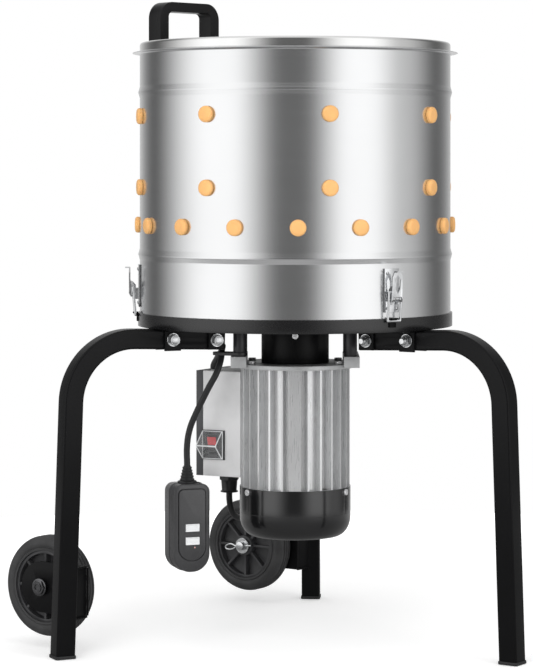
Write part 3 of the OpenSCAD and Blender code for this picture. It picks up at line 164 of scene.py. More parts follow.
def grained(name, colour, metal=0.0, rough=0.5, grain=900, stretch=(1, 1, 1), depth=0.00004,
            shade=0.12, patch=14, gloss=0.08, **sockets):
    """A finish: a fine grain bumps it and varies its gloss, and broad slight patches vary its shade."""
    mat = bpy.data.materials.new(name)
    mat.use_nodes = True
    tree = mat.node_tree
    shader = tree.nodes["Principled BSDF"]
    place = tree.nodes.new("ShaderNodeTexCoord")
    fit = tree.nodes.new("ShaderNodeMapping")
    fit.inputs["Scale"].default_value = [grain * s for s in stretch]
    fine = tree.nodes.new("ShaderNodeTexNoise")
    fine.inputs["Scale"].default_value = 1
    fine.inputs["Detail"].default_value = 3
    broad = tree.nodes.new("ShaderNodeTexNoise")
    broad.inputs["Scale"].default_value = patch
    broad.inputs["Detail"].default_value = 4
    tint = tree.nodes.new("ShaderNodeValToRGB")
    tint.color_ramp.elements[0].position = 0.3
    tint.color_ramp.elements[0].color = [c * (1 - shade) for c in colour] + [1]
    tint.color_ramp.elements[1].position = 0.7
    tint.color_ramp.elements[1].color = [min(1, c * (1 + shade)) for c in colour] + [1]
    sheen = ranged(tree, fine.outputs["Fac"], (0.3, 0.7), (max(0.02, rough - gloss), min(1, rough + gloss)))
    bump = tree.nodes.new("ShaderNodeBump")
    bump.inputs["Distance"].default_value = depth
    bump.inputs["Strength"].default_value = 1
    tree.links.new(place.outputs["Object"], fit.inputs["Vector"])
    tree.links.new(place.outputs["Object"], broad.inputs["Vector"])
    tree.links.new(fit.outputs["Vector"], fine.inputs["Vector"])
    tree.links.new(broad.outputs["Fac"], tint.inputs["Fac"])
    tree.links.new(tint.outputs["Color"], shader.inputs["Base Color"])
    tree.links.new(sheen, shader.inputs["Roughness"])
    tree.links.new(fine.outputs["Fac"], bump.inputs["Height"])
    tree.links.new(bump.outputs["Normal"], shader.inputs["Normal"])
    shader.inputs["Metallic"].default_value = metal
    for socket, value in sockets.items():
        shader.inputs[socket.replace("_", " ")].default_value = value
    return mat


lead_rubber = grained("lead_rubber", (0.014, 0.014, 0.015), rough=0.42, grain=1500, depth=0.00003,
                      patch=30)
lead_curve.materials.append(lead_rubber)
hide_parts("lead_upper", "lead_coil", "lead_lower")
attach(lead, "frame")


# Plug
# A plug-in safety plug: a moulded black case with a raised tongue on its face, two white push
# buttons and a pilot lamp on the tongue, and three pins on its back.
case_x, case_y, case_middle = 0.0175, 0.024, (case_low + case_high) / 2
seam_low, seam_high, back_step = -0.0012, 0.0006, 0.001
tongue_x, tongue_y, tongue_low, tongue_high = 0.0204, 0.0177, 0.1097, 0.1995
button_y, button_h, button_gap = 0.0092, 0.0048, 0.0003
button_heights = {"test_button": 0.1512, "reset_button": 0.1345}
beyond = 0.03
plug_turn = Matrix.Translation((plug_x, plug_y, 0)) @ Matrix.Rotation(math.radians(-124), 4, "Z")


def alone(piece):
    """Makes one object the only one selected, and active."""
    if bpy.context.mode != "OBJECT":
        bpy.ops.object.mode_set(mode="OBJECT")
    bpy.ops.object.select_all(action="DESELECT")
    piece.select_set(True)
    bpy.context.view_layer.objects.active = piece


def pick(piece, kind, wanted):
    """In edit mode, selects the faces or edges whose middle, and normal or direction, pass a test."""
    alone(piece)
    bpy.ops.object.mode_set(mode="EDIT")
    bpy.ops.mesh.select_mode(type=kind)
    bpy.ops.mesh.select_all(action="DESELECT")
    mesh = bmesh.from_edit_mesh(piece.data)
    if kind == "FACE":
        for face in mesh.faces:
            face.select_set(wanted(face.calc_center_median(), face.normal))
    else:
        for edge in mesh.edges:
            a, b = (v.co for v in edge.verts)
            edge.select_set(wanted((a + b) / 2, (b - a).normalized()))
    bmesh.update_edit_mesh(piece.data)


def modified(piece, kind, **values):
    """Adds a modifier and applies it."""
    alone(piece)
    extra = piece.modifiers.new("extra", kind)
    for key, value in values.items():
        setattr(extra, key, value)
    bpy.ops.object.modifier_apply(modifier=extra.name)


def smooth(piece, angle=32):
    """Shades a piece smooth but for the edges that turn by more than an angle."""
    alone(piece)
    bpy.ops.object.shade_smooth_by_angle(angle=math.radians(angle))


def block(name, low, high, rounding=0.0):
    """A cube primitive of a given place and size, with or without rounded edges."""
    bpy.ops.object.select_all(action="DESELECT")
    low, high = Vector(low), Vector(high)
    bpy.ops.mesh.primitive_cube_add(size=1, location=(low + high) / 2)
    piece = bpy.context.object
    piece.name = name
    piece.scale = high - low
    bpy.ops.object.transform_apply(location=True, rotation=True, scale=True)
    if rounding:
        modified(piece, "BEVEL", width=rounding, segments=3, limit_method="ANGLE")
    return piece


def finished(piece, matrix, mat, body, angle=32):
    """Puts a piece's place into its mesh, and gives it its finish and its carrier."""
    piece.data.transform(matrix)
    piece.data.materials.clear()
    piece.data.materials.append(mat)
    smooth(piece, angle)
    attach(piece, body)


def cut(piece, tool):
    """Cuts one piece with another, which then goes."""
    modified(piece, "BOOLEAN", operation="DIFFERENCE", object=tool, solver="EXACT")
    bpy.data.objects.remove(tool)


def second_finish(piece, mat, wanted):
    """Gives another finish to the faces whose middle passes a test."""
    piece.data.materials.append(mat)
    for face in piece.data.polygons:
        if wanted(face.center):
            face.material_index = 1


def joined(pieces, name):
    """Joins like pieces into one object."""
    alone(pieces[0])
    for piece in pieces:
        piece.select_set(True)
    bpy.ops.object.join()
    whole = bpy.context.object
    whole.name = name
    return whole


def outward(piece):
    """Turns the faces of a closed mesh outwards."""
    alone(piece)
    bpy.ops.object.mode_set(mode="EDIT")
    bpy.ops.mesh.select_all(action="SELECT")
    bpy.ops.mesh.normals_make_consistent(inside=False)
    bpy.ops.object.mode_set(mode="OBJECT")


def turned(name, line, sides):
    """A turned solid: a closed ring of points (radius, height) is spun round the z axis."""
    bpy.ops.object.select_all(action="DESELECT")
    bpy.ops.mesh.primitive_circle_add(vertices=len(line), radius=0.01)
    piece = bpy.context.object
    piece.name = name
    for corner, (r, z) in zip(piece.data.vertices, line):
        corner.co = (r, 0, z)
    pick(piece, "EDGE", lambda middle, way: middle.x < 1e-7 and abs(way.x) < 1e-6)
    bpy.ops.mesh.delete(type="EDGE")
    bpy.ops.mesh.select_all(action="SELECT")
    bpy.ops.mesh.spin(steps=sides, angle=math.tau, center=(0, 0, 0), axis=(0, 0, 1))
    bpy.ops.mesh.select_all(action="SELECT")
    bpy.ops.mesh.remove_doubles(threshold=1e-6)
    bpy.ops.mesh.normals_make_consistent(inside=False)
    bpy.ops.object.mode_set(mode="OBJECT")
    return piece


plug_case = block("plug_case", (-case_x, -case_y, case_low), (case_x, case_y, case_high))
pick(plug_case, "EDGE", lambda middle, way: abs(way.x) > 0.9 and middle.z < case_middle)
bpy.ops.mesh.bevel(offset=0.0225, segments=12)
pick(plug_case, "EDGE", lambda middle, way: abs(way.x) > 0.9 and middle.z > case_middle)
bpy.ops.mesh.bevel(offset=0.0105, segments=8)
pick(plug_case, "FACE", lambda middle, normal: normal.x > 0.9)
bpy.ops.mesh.inset(thickness=0.0032)
bpy.ops.transform.translate(value=(0.0014, 0, 0))
pick(plug_case, "FACE", lambda middle, normal: normal.x < -0.9)
bpy.ops.mesh.inset(thickness=0.003)
bpy.ops.mesh.extrude_region_move(TRANSFORM_OT_translate={"value": (-back_step, 0, 0)})
for x in (seam_low, seam_high):
    bpy.ops.mesh.select_all(action="SELECT")
    bpy.ops.mesh.bisect(plane_co=(x, 0, 0), plane_no=(1, 0, 0))
pick(plug_case, "FACE", lambda middle, normal: seam_low < middle.x < seam_high)
bpy.ops.mesh.extrude_region_shrink_fatten(TRANSFORM_OT_shrink_fatten={"value": 0.0007})
bpy.ops.object.mode_set(mode="OBJECT")
modified(plug_case, "BEVEL", width=0.0009, segments=3, limit_method="ANGLE", angle_limit=math.radians(40))


def tongue_block(name, low_x, high_x, wider):
    """The tongue's shape: a tall block with a round lower end and soft upper corners."""
    y = tongue_y + wider
    piece = block(name, (low_x, -y, tongue_low - wider), (high_x, y, tongue_high + wider))
    pick(piece, "EDGE", lambda middle, way: abs(way.x) > 0.9 and middle.z < case_middle)
    bpy.ops.mesh.bevel(offset=0.0167 + wider, segments=12)
    pick(piece, "EDGE", lambda middle, way: abs(way.x) > 0.9 and middle.z > case_middle)
    bpy.ops.mesh.bevel(offset=0.0060 + wider, segments=6)
    bpy.ops.object.mode_set(mode="OBJECT")
    return piece


cut(plug_case, tongue_block("moat", 0.0168, beyond, 0.0012))
tongue = tongue_block("tongue", 0.0150, tongue_x, 0)
modified(tongue, "BEVEL", width=0.0007, segments=3, limit_method="ANGLE", angle_limit=math.radians(40))
pocket_y, pocket_h = button_y + button_gap, button_h + button_gap
for z in button_heights.values():
    for shell in (plug_case, tongue):
        cut(shell, block("pocket", (0.0125, -pocket_y, z - pocket_h), (beyond, pocket_y, z + pocket_h)))
plug_case = joined([plug_case, tongue], "plug_case")
for y, z, w, h in ((-0.00635, 0.1292, 0.0008, 0.0032), (0.00635, 0.1292, 0.0008, 0.0032),
                   (0, 0.14, 0.0024, 0.0024)):
    pin = block("pin", (-0.035, y - w, z - h), (-0.018, y + w, z + h), 0.0005)
    plug_case = joined([plug_case, pin], "plug_case")
case_black = grained("case_black", (0.046, 0.046, 0.048), rough=0.28, grain=2400, depth=0.00003, patch=40)
finished(plug_case, plug_turn, case_black, "frame")
pin_steel = grained("pin_steel", (0.62, 0.6, 0.55), metal=1, rough=0.28, grain=900, stretch=(0.05, 1, 1))
behind_case = -case_x - back_step - 0.0003
second_finish(plug_case, pin_steel, lambda middle: (plug_turn.inverted() @ middle).x < behind_case)
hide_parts("plug_body")
button_white = grained("button_white", (0.80, 0.81, 0.82), rough=0.3, grain=2000, depth=0.00001,
                       shade=0.04)
for node, z in button_heights.items():
    button = block(node + "_cap", (0.0150, -button_y, z - button_h), (0.0216, button_y, z + button_h),
                   0.0006)
    pick(button, "FACE", lambda middle, normal: normal.x > 0.95)
    bpy.ops.mesh.inset(thickness=0.0014)
    bpy.ops.transform.translate(value=(-0.0005, 0, 0))
    bpy.ops.object.mode_set(mode="OBJECT")
    finished(button, plug_turn, button_white, carrier[node])
    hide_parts(node)
pilot_line = [(0, -0.001), (0.0010, -0.001), (0.0010, 0.0002), (0.0006, 0.0006), (0, 0.0007)]
pilot = turned("pilot_lamp", pilot_line, 20)
pilot_red = grained("pilot_red", (0.75, 0.42, 0.38), rough=0.15, grain=3000, depth=0.000005,
                    Coat_Weight=0.6)
pilot_place = Matrix.Translation((tongue_x, 0.003, 0.1262)) @ Matrix.Rotation(math.pi / 2, 4, "Y")
finished(pilot, plug_turn @ pilot_place, pilot_red, "frame")


# Strain relief of the plug
# A soft tapered sleeve moulded on the lead, with rings that let it bend.
sleeve_line = [(0.0036, 0.0), (0.0122, 0.0), (0.0122, 0.0020), (0.0114, 0.0028), (0.0084, 0.0032)]
for ring in range(5):
    low = 0.0034 + 0.0037 * ring
    r = 0.0092 - 0.0008 * ring
    sleeve_line += [(r, low), (r, low + 0.0019), (r - 0.0012, low + 0.0022), (r - 0.0013, low + 0.0034)]
sleeve_line += [(0.0044, sleeve_l), (0.0036, sleeve_l)]
sleeve = turned("plug_sleeve", sleeve_line, 40)
modified(sleeve, "BEVEL", width=0.0003, segments=2, limit_method="ANGLE")
finished(sleeve, plug_turn @ Matrix.Translation((0, 0, case_high)), lead_rubber, "frame")
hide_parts("plug_relief")


# Legs
# Three bent legs of 25 mm square tube, powder-coated satin black. The two at the handle's side
# carry a welded plate for a wheel, and stand at leg_x and leg_y. The arms are bolted under the tray.
sides = {1: "right", -1: "left"}
leg_x, axle_y, axle_z = 0.274799, 0.247828, 0.077
leg_y, plate_half = axis_y + 0.158656, 0.0315


def dressed(node, name, mat, rounding, steps=2):
    """A copy of a solid: its triangles are merged, its sharp edges rounded and its curves smoothed."""
    piece = linked(name, solids[node].data.copy())
    alone(piece)
    bpy.ops.mesh.customdata_custom_splitnormals_clear()
    bpy.ops.object.mode_set(mode="EDIT")
    bpy.ops.mesh.select_all(action="SELECT")
    bpy.ops.mesh.remove_doubles(threshold=0.000004)
    bpy.ops.mesh.dissolve_limited(angle_limit=math.radians(0.3))
    bpy.ops.object.mode_set(mode="OBJECT")
    if rounding:
        modified(piece, "BEVEL", width=rounding, segments=steps, limit_method="ANGLE",
                 angle_limit=math.radians(40), use_clamp_overlap=True, miter_outer="MITER_ARC")
    finished(piece, Matrix(), mat, carrier[node])
    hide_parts(node)
    return piece


def meshed(curve_piece):
    """Turns a curve into a mesh."""
    alone(curve_piece)
    bpy.ops.object.convert(target="MESH")
    return bpy.context.object


black_coat = grained("black_coat", (0.0048, 0.0048, 0.0052), rough=0.34, grain=700, depth=0.00003,
                     shade=0.2, patch=9, gloss=0.05, Specular_IOR_Level=0.14)
for node, name in (("leg_front", "front_leg"), ("leg_right", "right_leg"), ("leg_left", "left_leg")):
    dressed(node, name, black_coat, 0.0005)


def weld(name, start, end):
    """A run of weld along a line, whose ripples come from the radius of its points."""
    curve = round_curve(name, 0.0016, 2)
    spline = curve.splines.new("POLY")
    start, end = Vector(start), Vector(end)
    count = max(4, int((end - start).length / 0.0011))
    spline.points.add(count - 1)
    for i, knot in enumerate(spline.points):
        knot.co = (*start.lerp(end, i / (count - 1)), 1)
        knot.radius = (1.0, 0.86, 0.8, 0.9)[i % 4] * (0.75 if i in (0, count - 1) else 1)
    finished(meshed(linked(name, curve)), Matrix(), black_coat, "frame")


for side, name in sides.items():
    inner, outer, edge = (side * (leg_x - inwards) for inwards in (0.0395, 0.006, 0.0405))
    for level, z in (("low", axle_z - plate_half), ("high", axle_z + plate_half)):
        weld(f"{name}_plate_weld_{level}", (inner, leg_y - 0.0035, z), (outer, leg_y - 0.0035, z))
    weld(f"{name}_plate_weld_side", (edge, leg_y - 0.004, axle_z - 0.030),
         (edge, leg_y - 0.004, axle_z + 0.030))


# Feet
# Black plastic plugs pushed into the leg ends, with a square pad that stands on the ground.
foot_plastic = grained("foot_plastic", (0.018, 0.018, 0.019), rough=0.6, grain=1400, depth=0.00006,
                       patch=60)
dressed("foot_caps", "foot_pads", foot_plastic, 0.001)


# Cleats and leg bolts
# Short angles welded under the tray, and six M8 bolts with washers and self-locking nuts, bright
# zinc, that hold the arms between them.
arm_azimuths, bolt_away = (-90, 30, 150), (0.118, 0.178)
arm_in, arm_z, arm_tilt, arm_half = 0.105, 0.3878, math.radians(2), 0.01565
dressed("leg_cleats", "cleats", black_coat, 0.0004)
zinc = grained("zinc", (0.70, 0.71, 0.72), metal=1, rough=0.22, grain=700, depth=0.00002, shade=0.1,
               patch=220)


def washer(r_out, r_in, thick):
    """A flat ring with soft outer edges."""
    e = 0.0003
    line = [(r_in, 0), (r_out - e, 0), (r_out, e), (r_out, thick - e), (r_out - e, thick), (r_in, thick)]
    return turned("washer", line, 40)


def hex_head(across, thick, dish=0.0):
    """A hexagon head from a six-sided cylinder, its corners cut by a turned cone."""
    r = across / 2
    bpy.ops.object.select_all(action="DESELECT")
    bpy.ops.mesh.primitive_cylinder_add(vertices=6, radius=r / math.cos(math.pi / 6), depth=thick,
                                        location=(0, 0, thick / 2))
    head = bpy.context.object
    bpy.ops.object.transform_apply(location=True)
    cone = turned("cone", [(0, -0.01), (r * 1.3, -0.01), (r * 1.3, thick - 0.0016), (r * 0.94, thick),
                           (r * 0.94 - dish, thick), (r * 0.8 - dish, thick - dish),
                           (0, thick - dish)], 48)
    modified(head, "BOOLEAN", operation="INTERSECT", object=cone, solver="EXACT")
    bpy.data.objects.remove(cone)
    return head


def thread_end(r, length):
    """The end of a threaded rod, with a groove for each turn of the thread."""
    line, pitch = [(0, 0), (r, 0)], 0.00125
    for i in range(int(length / pitch)):
        line += [(r, pitch * (i + 0.1)), (r * 0.88, pitch * (i + 0.5)), (r, pitch * (i + 0.9))]
    return turned("thread", line + [(r * 0.8, length), (0, length)], 24)


def bolt_side(nut):
    """One end of a bolted joint: washer, hexagon and, for the nut, its nylon collar and the thread."""
    r, across, head_h, washer_t = 0.004, 0.0128, 0.006, 0.0016
    pieces = [washer(0.0085, r, washer_t)]
    head = hex_head(across, head_h - (0.0012 if nut else 0), 0 if nut else 0.0004)
    head.data.transform(Matrix.Translation((0, 0, washer_t)))
    pieces.append(head)
    if nut:
        e = washer_t + head_h - 0.0014
        line = [(r, e), (across * 0.46, e), (across * 0.44, e + 0.0011), (across * 0.38, e + 0.0015),
                (r, e + 0.0013)]
        pieces.append(turned("collar", line, 32))
        tip = thread_end(r, 0.0105)
        tip.data.transform(Matrix.Translation((0, 0, washer_t)))
        pieces.append(tip)
    return joined(pieces, "bolt_side")


def placed_copies(piece, places, name):
    """Copies of a piece at several places, each with its own mesh, joined; the first one goes."""
    copies = []
    for place in places:
        twin = linked(name, piece.data.copy())
        twin.data.transform(place)
        copies.append(twin)
    bpy.data.objects.remove(piece)
    return joined(copies, name)


def round_axis(azimuth, r=0.0, z=0.0, across=0.0):
    """A place at an azimuth round the drum's axis: x outwards, y along the rim."""
    return (Matrix.Translation((0, axis_y, 0)) @ Matrix.Rotation(math.radians(azimuth), 4, "Z")
            @ Matrix.Translation((r, across, z)))


def arm_bolt(azimuth, r, turn):
    """The seat of a bolt's end on one side of a leg's arm, which rises outwards a little."""
    z = arm_z + math.tan(arm_tilt) * (r - arm_in)
    return (round_axis(azimuth, r, z) @ Matrix.Rotation(math.radians(turn), 4, "X")
            @ Matrix.Translation((0, 0, arm_half)))


bolt_ends = [placed_copies(bolt_side(nut), [arm_bolt(a, r, turn) for a in arm_azimuths for r in bolt_away],
                           "leg_bolt_ends") for nut, turn in ((False, -90), (True, 90))]
leg_bolts = joined(bolt_ends, "leg_bolt_set")
finished(leg_bolts, Matrix(), zinc, "frame", 28)
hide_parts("leg_bolts")


# Tray
# A pressed steel pan, powder-coated black, that the drum stands in. Its rim has a soft top edge, and
# its coat is a little glossier than that of the legs.
tray_coat = grained("tray_coat", (0.0050, 0.0050, 0.0055), rough=0.26, grain=700, depth=0.00002, shade=0.1,
                    patch=9, gloss=0.04, Specular_IOR_Level=0.5, Coat_Weight=0.3, Coat_Roughness=0.25)
dressed("base_tray", "tray_pan", tray_coat, 0.0007)


# Wheels
# Two 5 inch transport wheels: a solid black rubber tyre on a ribbed plastic hub. Each turns on a
# bolt through the welded plate and is kept by a washer and a split pin.
tyre_rubber = grained("tyre_rubber", (0.036, 0.036, 0.037), rough=0.62, grain=1200, depth=0.0001,
                      shade=0.25, patch=35)
wheel_plastic = grained("wheel_plastic", (0.034, 0.034, 0.036), rough=0.42, grain=1600, depth=0.00004,
                        patch=50)
tyre_r, tyre_w, tyre_gap, pin_gap, washer_gap = 0.0635, 0.030, 0.040, 0.075, 0.0722
head_from = 0.2402
flank = [(0.0455, 0.001), (0.0478, 0.0006), (0.0490, 0.0016), (0.0505, 0.0004), (0.0535, 0.0),
         (0.0560, 0.0004), (0.0595, 0.0020), (0.0618, 0.0042), (0.0630, 0.0068)]
tread = []
for groove in (0.0095, 0.0150, 0.0205):
    tread += [(tyre_r, groove - 0.0011), (tyre_r - 0.0012, groove - 0.0006),
              (tyre_r - 0.0012, groove + 0.0006), (tyre_r, groove + 0.0011)]
tyre_line = flank + tread + [(r, tyre_w - z) for r, z in reversed(flank)]


def on_axle(x):
    """A place on the wheels' common axis."""
    return Matrix.Translation((x, axle_y, axle_z))


for side, name in sides.items():
    tyre = turned(f"{name}_tyre", tyre_line, 96)
    tyre.data.transform(on_axle(side * leg_x) @ Matrix.Scale(side, 4, (1, 0, 0))
                        @ Matrix.Rotation(-math.pi / 2, 4, "Y") @ Matrix.Translation((0, 0, tyre_gap)))
    outward(tyre)
    finished(tyre, Matrix(), tyre_rubber, f"wheel_{name}", 40)
    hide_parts(f"wheel_tyre_{name}")
    dressed(f"wheel_hub_{name}", f"{name}_hub", wheel_plastic, 0.0006)
axles = dressed("axle_bolts", "axles", zinc, 0.0006)
head_black = grained("head_black", (0.13, 0.13, 0.135), metal=1, rough=0.24, grain=900, depth=0.00004,
                     patch=90)
second_finish(axles, head_black, lambda middle: abs(middle.x) > head_from)
socket_line = [(0.0040, 0.002), (0.0058, 0.002), (0.0058, 0.0034), (0.0054, 0.0038), (0.0044, 0.0038),
               (0.0040, 0.0034)]
key = joined([hex_head(0.0165, 0.0026), turned("socket", socket_line, 32)], "key")
head_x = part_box("axle_bolts")[1][0]
key_places = [on_axle(side * head_x) @ Matrix.Rotation(math.radians(90 * side), 4, "Y") for side in sides]
keys = placed_copies(key, key_places, "axle_keys")
finished(keys, Matrix(), head_black, "frame", 28)


def wire(name, points, thick, closed=False, soft=True):
    """A round wire through some points, as a mesh."""
    curve = round_curve(name, thick, 3)
    curve.resolution_u = 6
    spline_through(curve, points, closed, soft)
    return meshed(linked(name, curve))


pin_line = [(-0.0165, -0.0006), (-0.004, -0.0002), (0.0095, 0.0002), (0.0150, 0.0030), (0.0215, 0.0034),
            (0.0268, 0.0004), (0.0270, -0.0012), (0.0220, -0.0036), (0.0150, -0.0032), (0.0098, -0.0010)]
pin_sets = []
for side in sides:
    pin = wire("pin", [(0, y, z) for y, z in pin_line], 0.0013)
    pin.data.transform(on_axle(side * (leg_x - pin_gap)) @ Matrix.Rotation(math.radians(-7), 4, "X"))
    flat = washer(0.0110, 0.0061, 0.0016)
    flat.data.transform(on_axle(side * (leg_x - washer_gap))
                        @ Matrix.Rotation(math.radians(-90 * side), 4, "Y"))
    pin_sets += [pin, flat]
pins = joined(pin_sets, "split_pins")
finished(pins, Matrix(), zinc, "frame", 40)
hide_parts("axle_clips")


# Drum
# A stainless sheet rolled into a drum, with two beads rolled into it and its top edge rolled
# outwards to a thin flange. The sheet is finely brushed, and the studio lies on it in upright bands.
drum_r, sheet, drum_low, drum_h = 0.2, 0.0012, 0.4065, 0.3435
bead_heights = (0.089, 0.2965)
duct_azimuth, duct_half, duct_high = 70, 0.055, 0.4455
steel = grained("brushed_drum", (0.76, 0.765, 0.77), metal=1, rough=0.20, grain=3600,
                stretch=(0.004, 0.004, 1), depth=0.0000012, shade=0.03, patch=5, gloss=0.03,
                Anisotropic=0.3)


def bead(r, z):
    """Points of one rolled bead, from its lower to its upper edge: two even flanks and a round top."""
    slope = [(0.0, 0.008), (0.00015, 0.0070), (0.00031, 0.0064), (0.00146, 0.0022), (0.00162, 0.0016),
             (0.00192, 0.0008)]
    return ([(r + out, z - off) for out, off in slope] + [(r + 0.002, z)]
            + [(r + out, z + off) for out, off in reversed(slope)])


def wall(r):
    """The wall's points from its lower edge up, close beside the beads so that the flats stay flat."""
    points = [(r, 0.0), (r, 0.0006)]
    for z in bead_heights:
        points += [(r, z - 0.0092), *bead(r, z), (r, z + 0.0092)]
    return points + [(r, drum_h - 0.001), (r, drum_h)]


inner_r = drum_r - sheet
rim_hollow = [(drum_r + 0.003 * (1 - math.cos(a)), drum_h + 0.0027 * math.sin(a))
              for a in (math.radians(d) for d in (20, 45, 70, 90))]
rim_edge = [(0.2088, 0.3464), (0.2093, 0.3466), (0.2095, 0.3469), (0.2092, 0.3472), (0.2080, 0.3475),
            (0.2030, 0.3486), (0.2006, 0.3490), (0.1992, 0.3486), (inner_r, 0.346)]
shell = turned("drum_wall", wall(drum_r) + rim_hollow + rim_edge + wall(inner_r)[::-1], 224)
shell.data.transform(Matrix.Translation((0, 0, drum_low)))
opening = block("opening", (0.17, -duct_half, 0.400), (0.24, duct_half, duct_high))
opening.data.transform(Matrix.Rotation(math.radians(duct_azimuth), 4, "Z"))
cut(shell, opening)
finished(shell, Matrix.Translation((0, axis_y, 0)), steel, "frame", 34)
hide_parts("drum_shell")


# Splash ring
# A polished stainless ring that stands in the rim and turns inwards, so that nothing flies out.
ring_low = 0.7555
polished = grained("polished_steel", (0.78, 0.78, 0.775), metal=1, rough=0.15, grain=2600,
                   stretch=(0.01, 0.01, 1), depth=0.000001, shade=0.03, gloss=0.03)


def shoulder(r):
    """The ring's shoulder: a quarter round from its outside to its top."""
    angles = [math.pi / 16 * i for i in range(9)]
    return [(0.1963 + r * math.cos(a), 0.0075 + r * math.sin(a)) for a in angles]


lip = [(0.1795, 0.0112), (0.178, 0.0108), (0.1778, 0.0102), (0.1795, 0.0097)]
splash_line = [(0.1985, 0.0), (0.2, 0.0)] + shoulder(0.0037) + lip + shoulder(0.0022)[::-1]
splash = turned("splash_collar", splash_line, 192)
finished(splash, Matrix.Translation((0, axis_y, ring_low)), polished, "frame", 30)
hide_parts("splash_ring")


# Rubber fingers
# Soft amber rubber fingers with grip rings. Each is pulled through a hole in the wall or plate, and
# its round head stays on the outside.
drum_rows = ((0.175, 8, 1.25), (0.2655, 8, 1.25), (0.1265, 16, 12.5))
plate_rows, plate_z = ((0.150, 12, 0), (0.085, 8, 22.5)), 0.428
amber = grained("finger_rubber", (0.84, 0.455, 0.165), rough=0.5, grain=1300, depth=0.00005, shade=0.07,
                patch=45, Subsurface_Weight=0.12, Subsurface_Radius=(0.9, 0.45, 0.15),
                Subsurface_Scale=0.004)


def finger(neck):
    """One finger, its head's seat at z = 0: head, neck through the sheet, shoulder, rings, round tip."""
    line = [(0, -0.0065), (0.0055, -0.00645), (0.0083, -0.0060), (0.0097, -0.0050), (0.01025, -0.0036),
            (0.01025, -0.0008), (0.0098, 0.0), (0.00793, 0.0), (0.00793, neck), (0.0098, neck),
            (0.0102, neck + 0.0006), (0.0102, neck + 0.0032)]
    rings, base, end = 7, neck + 0.004, 0.083
    for i in range(rings):
        for j, sink in ((0.0, 0.0012), (0.38, 0.0012), (0.5, 0.0), (0.92, 0.0)):
            t = (i + j) / rings
            line.append((0.00945 - 0.00295 * t - sink, base + (end - base) * t))
    line += [(0.0065, 0.0840), (0.0061, 0.0860), (0.0049, 0.0880), (0.0027, 0.0889), (0, 0.0890)]
    return turned("finger", line, 20)


inwards = Matrix.Rotation(-math.pi / 2, 4, "Y")
spots = [round_axis(first + 360 / count * k, drum_r, drum_low + z) @ inwards
         for z, count, first in drum_rows for k in range(count)]
wall_fingers = placed_copies(finger(0.00152), spots, "wall_fingers")
finished(wall_fingers, Matrix(), amber, "frame", 40)
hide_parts("drum_fingers")
spots = [round_axis(first + 360 / count * k, r, plate_z)
         for r, count, first in plate_rows for k in range(count)]
disc_fingers = placed_copies(finger(0.00405), spots, "disc_fingers")
finished(disc_fingers, Matrix(), amber, "plate", 40)
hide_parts("plate_fingers")


# Outlet duct
# A folded sheet-steel spout under the handle's side, where feathers and water wash out.
dressed("outlet_duct", "outlet_spout", black_coat, 0.0005)


# Latches
# Three bright toggle latches hold the drum down to the tray: a stamped base riveted to the wall, a
# bent lever with a finger lip, a wire bail, and a hook on the tray's rim.
latch_azimuths = (-110, 10, 130)
rivet_r, rivet_heights, rivet_across = 0.20205, (0.4335, 0.4765), (-0.0068, 0.0068)
lever_r, lever_z = 0.209, 0.4455
bright = grained("latch_steel", (0.74, 0.75, 0.76), metal=1, rough=0.16, grain=900, depth=0.000015,
                 shade=0.06, patch=160)
dressed("latch_keepers", "latch_hooks", black_coat, 0.0004)
dressed("latch_bases", "latch_plates", bright, 0.0005)
rivet_line = [(0, 0), (0.0023, 0), (0.0023, 0.0004), (0.0017, 0.0010), (0.0008, 0.0013), (0, 0.0014)]
rivet_spots = [round_axis(azimuth, rivet_r, z, across) @ Matrix.Rotation(math.pi / 2, 4, "Y")
               for azimuth in latch_azimuths for z in rivet_heights for across in rivet_across]
rivets = placed_copies(turned("rivet", rivet_line, 20), rivet_spots, "latch_rivets")
finished(rivets, Matrix(), bright, "frame")


def prism(name, outline, low, high):
    """A flat outline of (across, up) points, pushed from one distance outwards to another."""
    bpy.ops.object.select_all(action="DESELECT")
    bpy.ops.mesh.primitive_circle_add(vertices=len(outline), radius=0.01, fill_type="NGON")
    piece = bpy.context.object
    piece.name = name
    for corner, (y, z) in zip(piece.data.vertices, outline):
        corner.co = (low, y, z)
    bpy.ops.object.mode_set(mode="EDIT")
    bpy.ops.mesh.select_all(action="SELECT")
    bpy.ops.mesh.extrude_region_move(TRANSFORM_OT_translate={"value": (high - low, 0, 0)})
    outward(piece)
    return piece


corner = [(0.0034, 0.0360), (0.0082, 0.0260), (0.0110, 0.0260), (0.0110, 0.0360)]
window = [(0, 0.0295), (0.0046, 0.0235), (0.0036, 0.0120), (0, 0.0060), (-0.0036, 0.0120),
          (-0.0046, 0.0235)]
lever_cuts = [([(y * side, z) for y, z in corner], 0.013) for side in (1, -1)] + [(window, 0.007)]
for i, azimuth in enumerate(latch_azimuths, 1):
    lever = dressed(f"latch_lever_{i}", f"lever_{i}_plate", bright, 0.0004)
    for outline, deep in lever_cuts:
        cutter = prism("cutter", outline, 0.002, deep)
        cutter.data.transform(round_axis(azimuth, lever_r, lever_z))
        cut(lever, cutter)
    smooth(lever)
    dressed(f"latch_bail_{i}", f"bail_{i}_wire", bright, 0)


# Handle
# A moulded black grip that stands on a folded bracket, screwed from below, beside the drum's rim.
grip_black = grained("grip_plastic", (0.005, 0.005, 0.0055), rough=0.3, grain=1500, depth=0.00003,
                     patch=30, gloss=0.05, Specular_IOR_Level=0.22)
dressed("handle", "grip", grip_black, 0.0028, steps=4)
dressed("handle_bracket", "grip_bracket", black_coat, 0.0004)


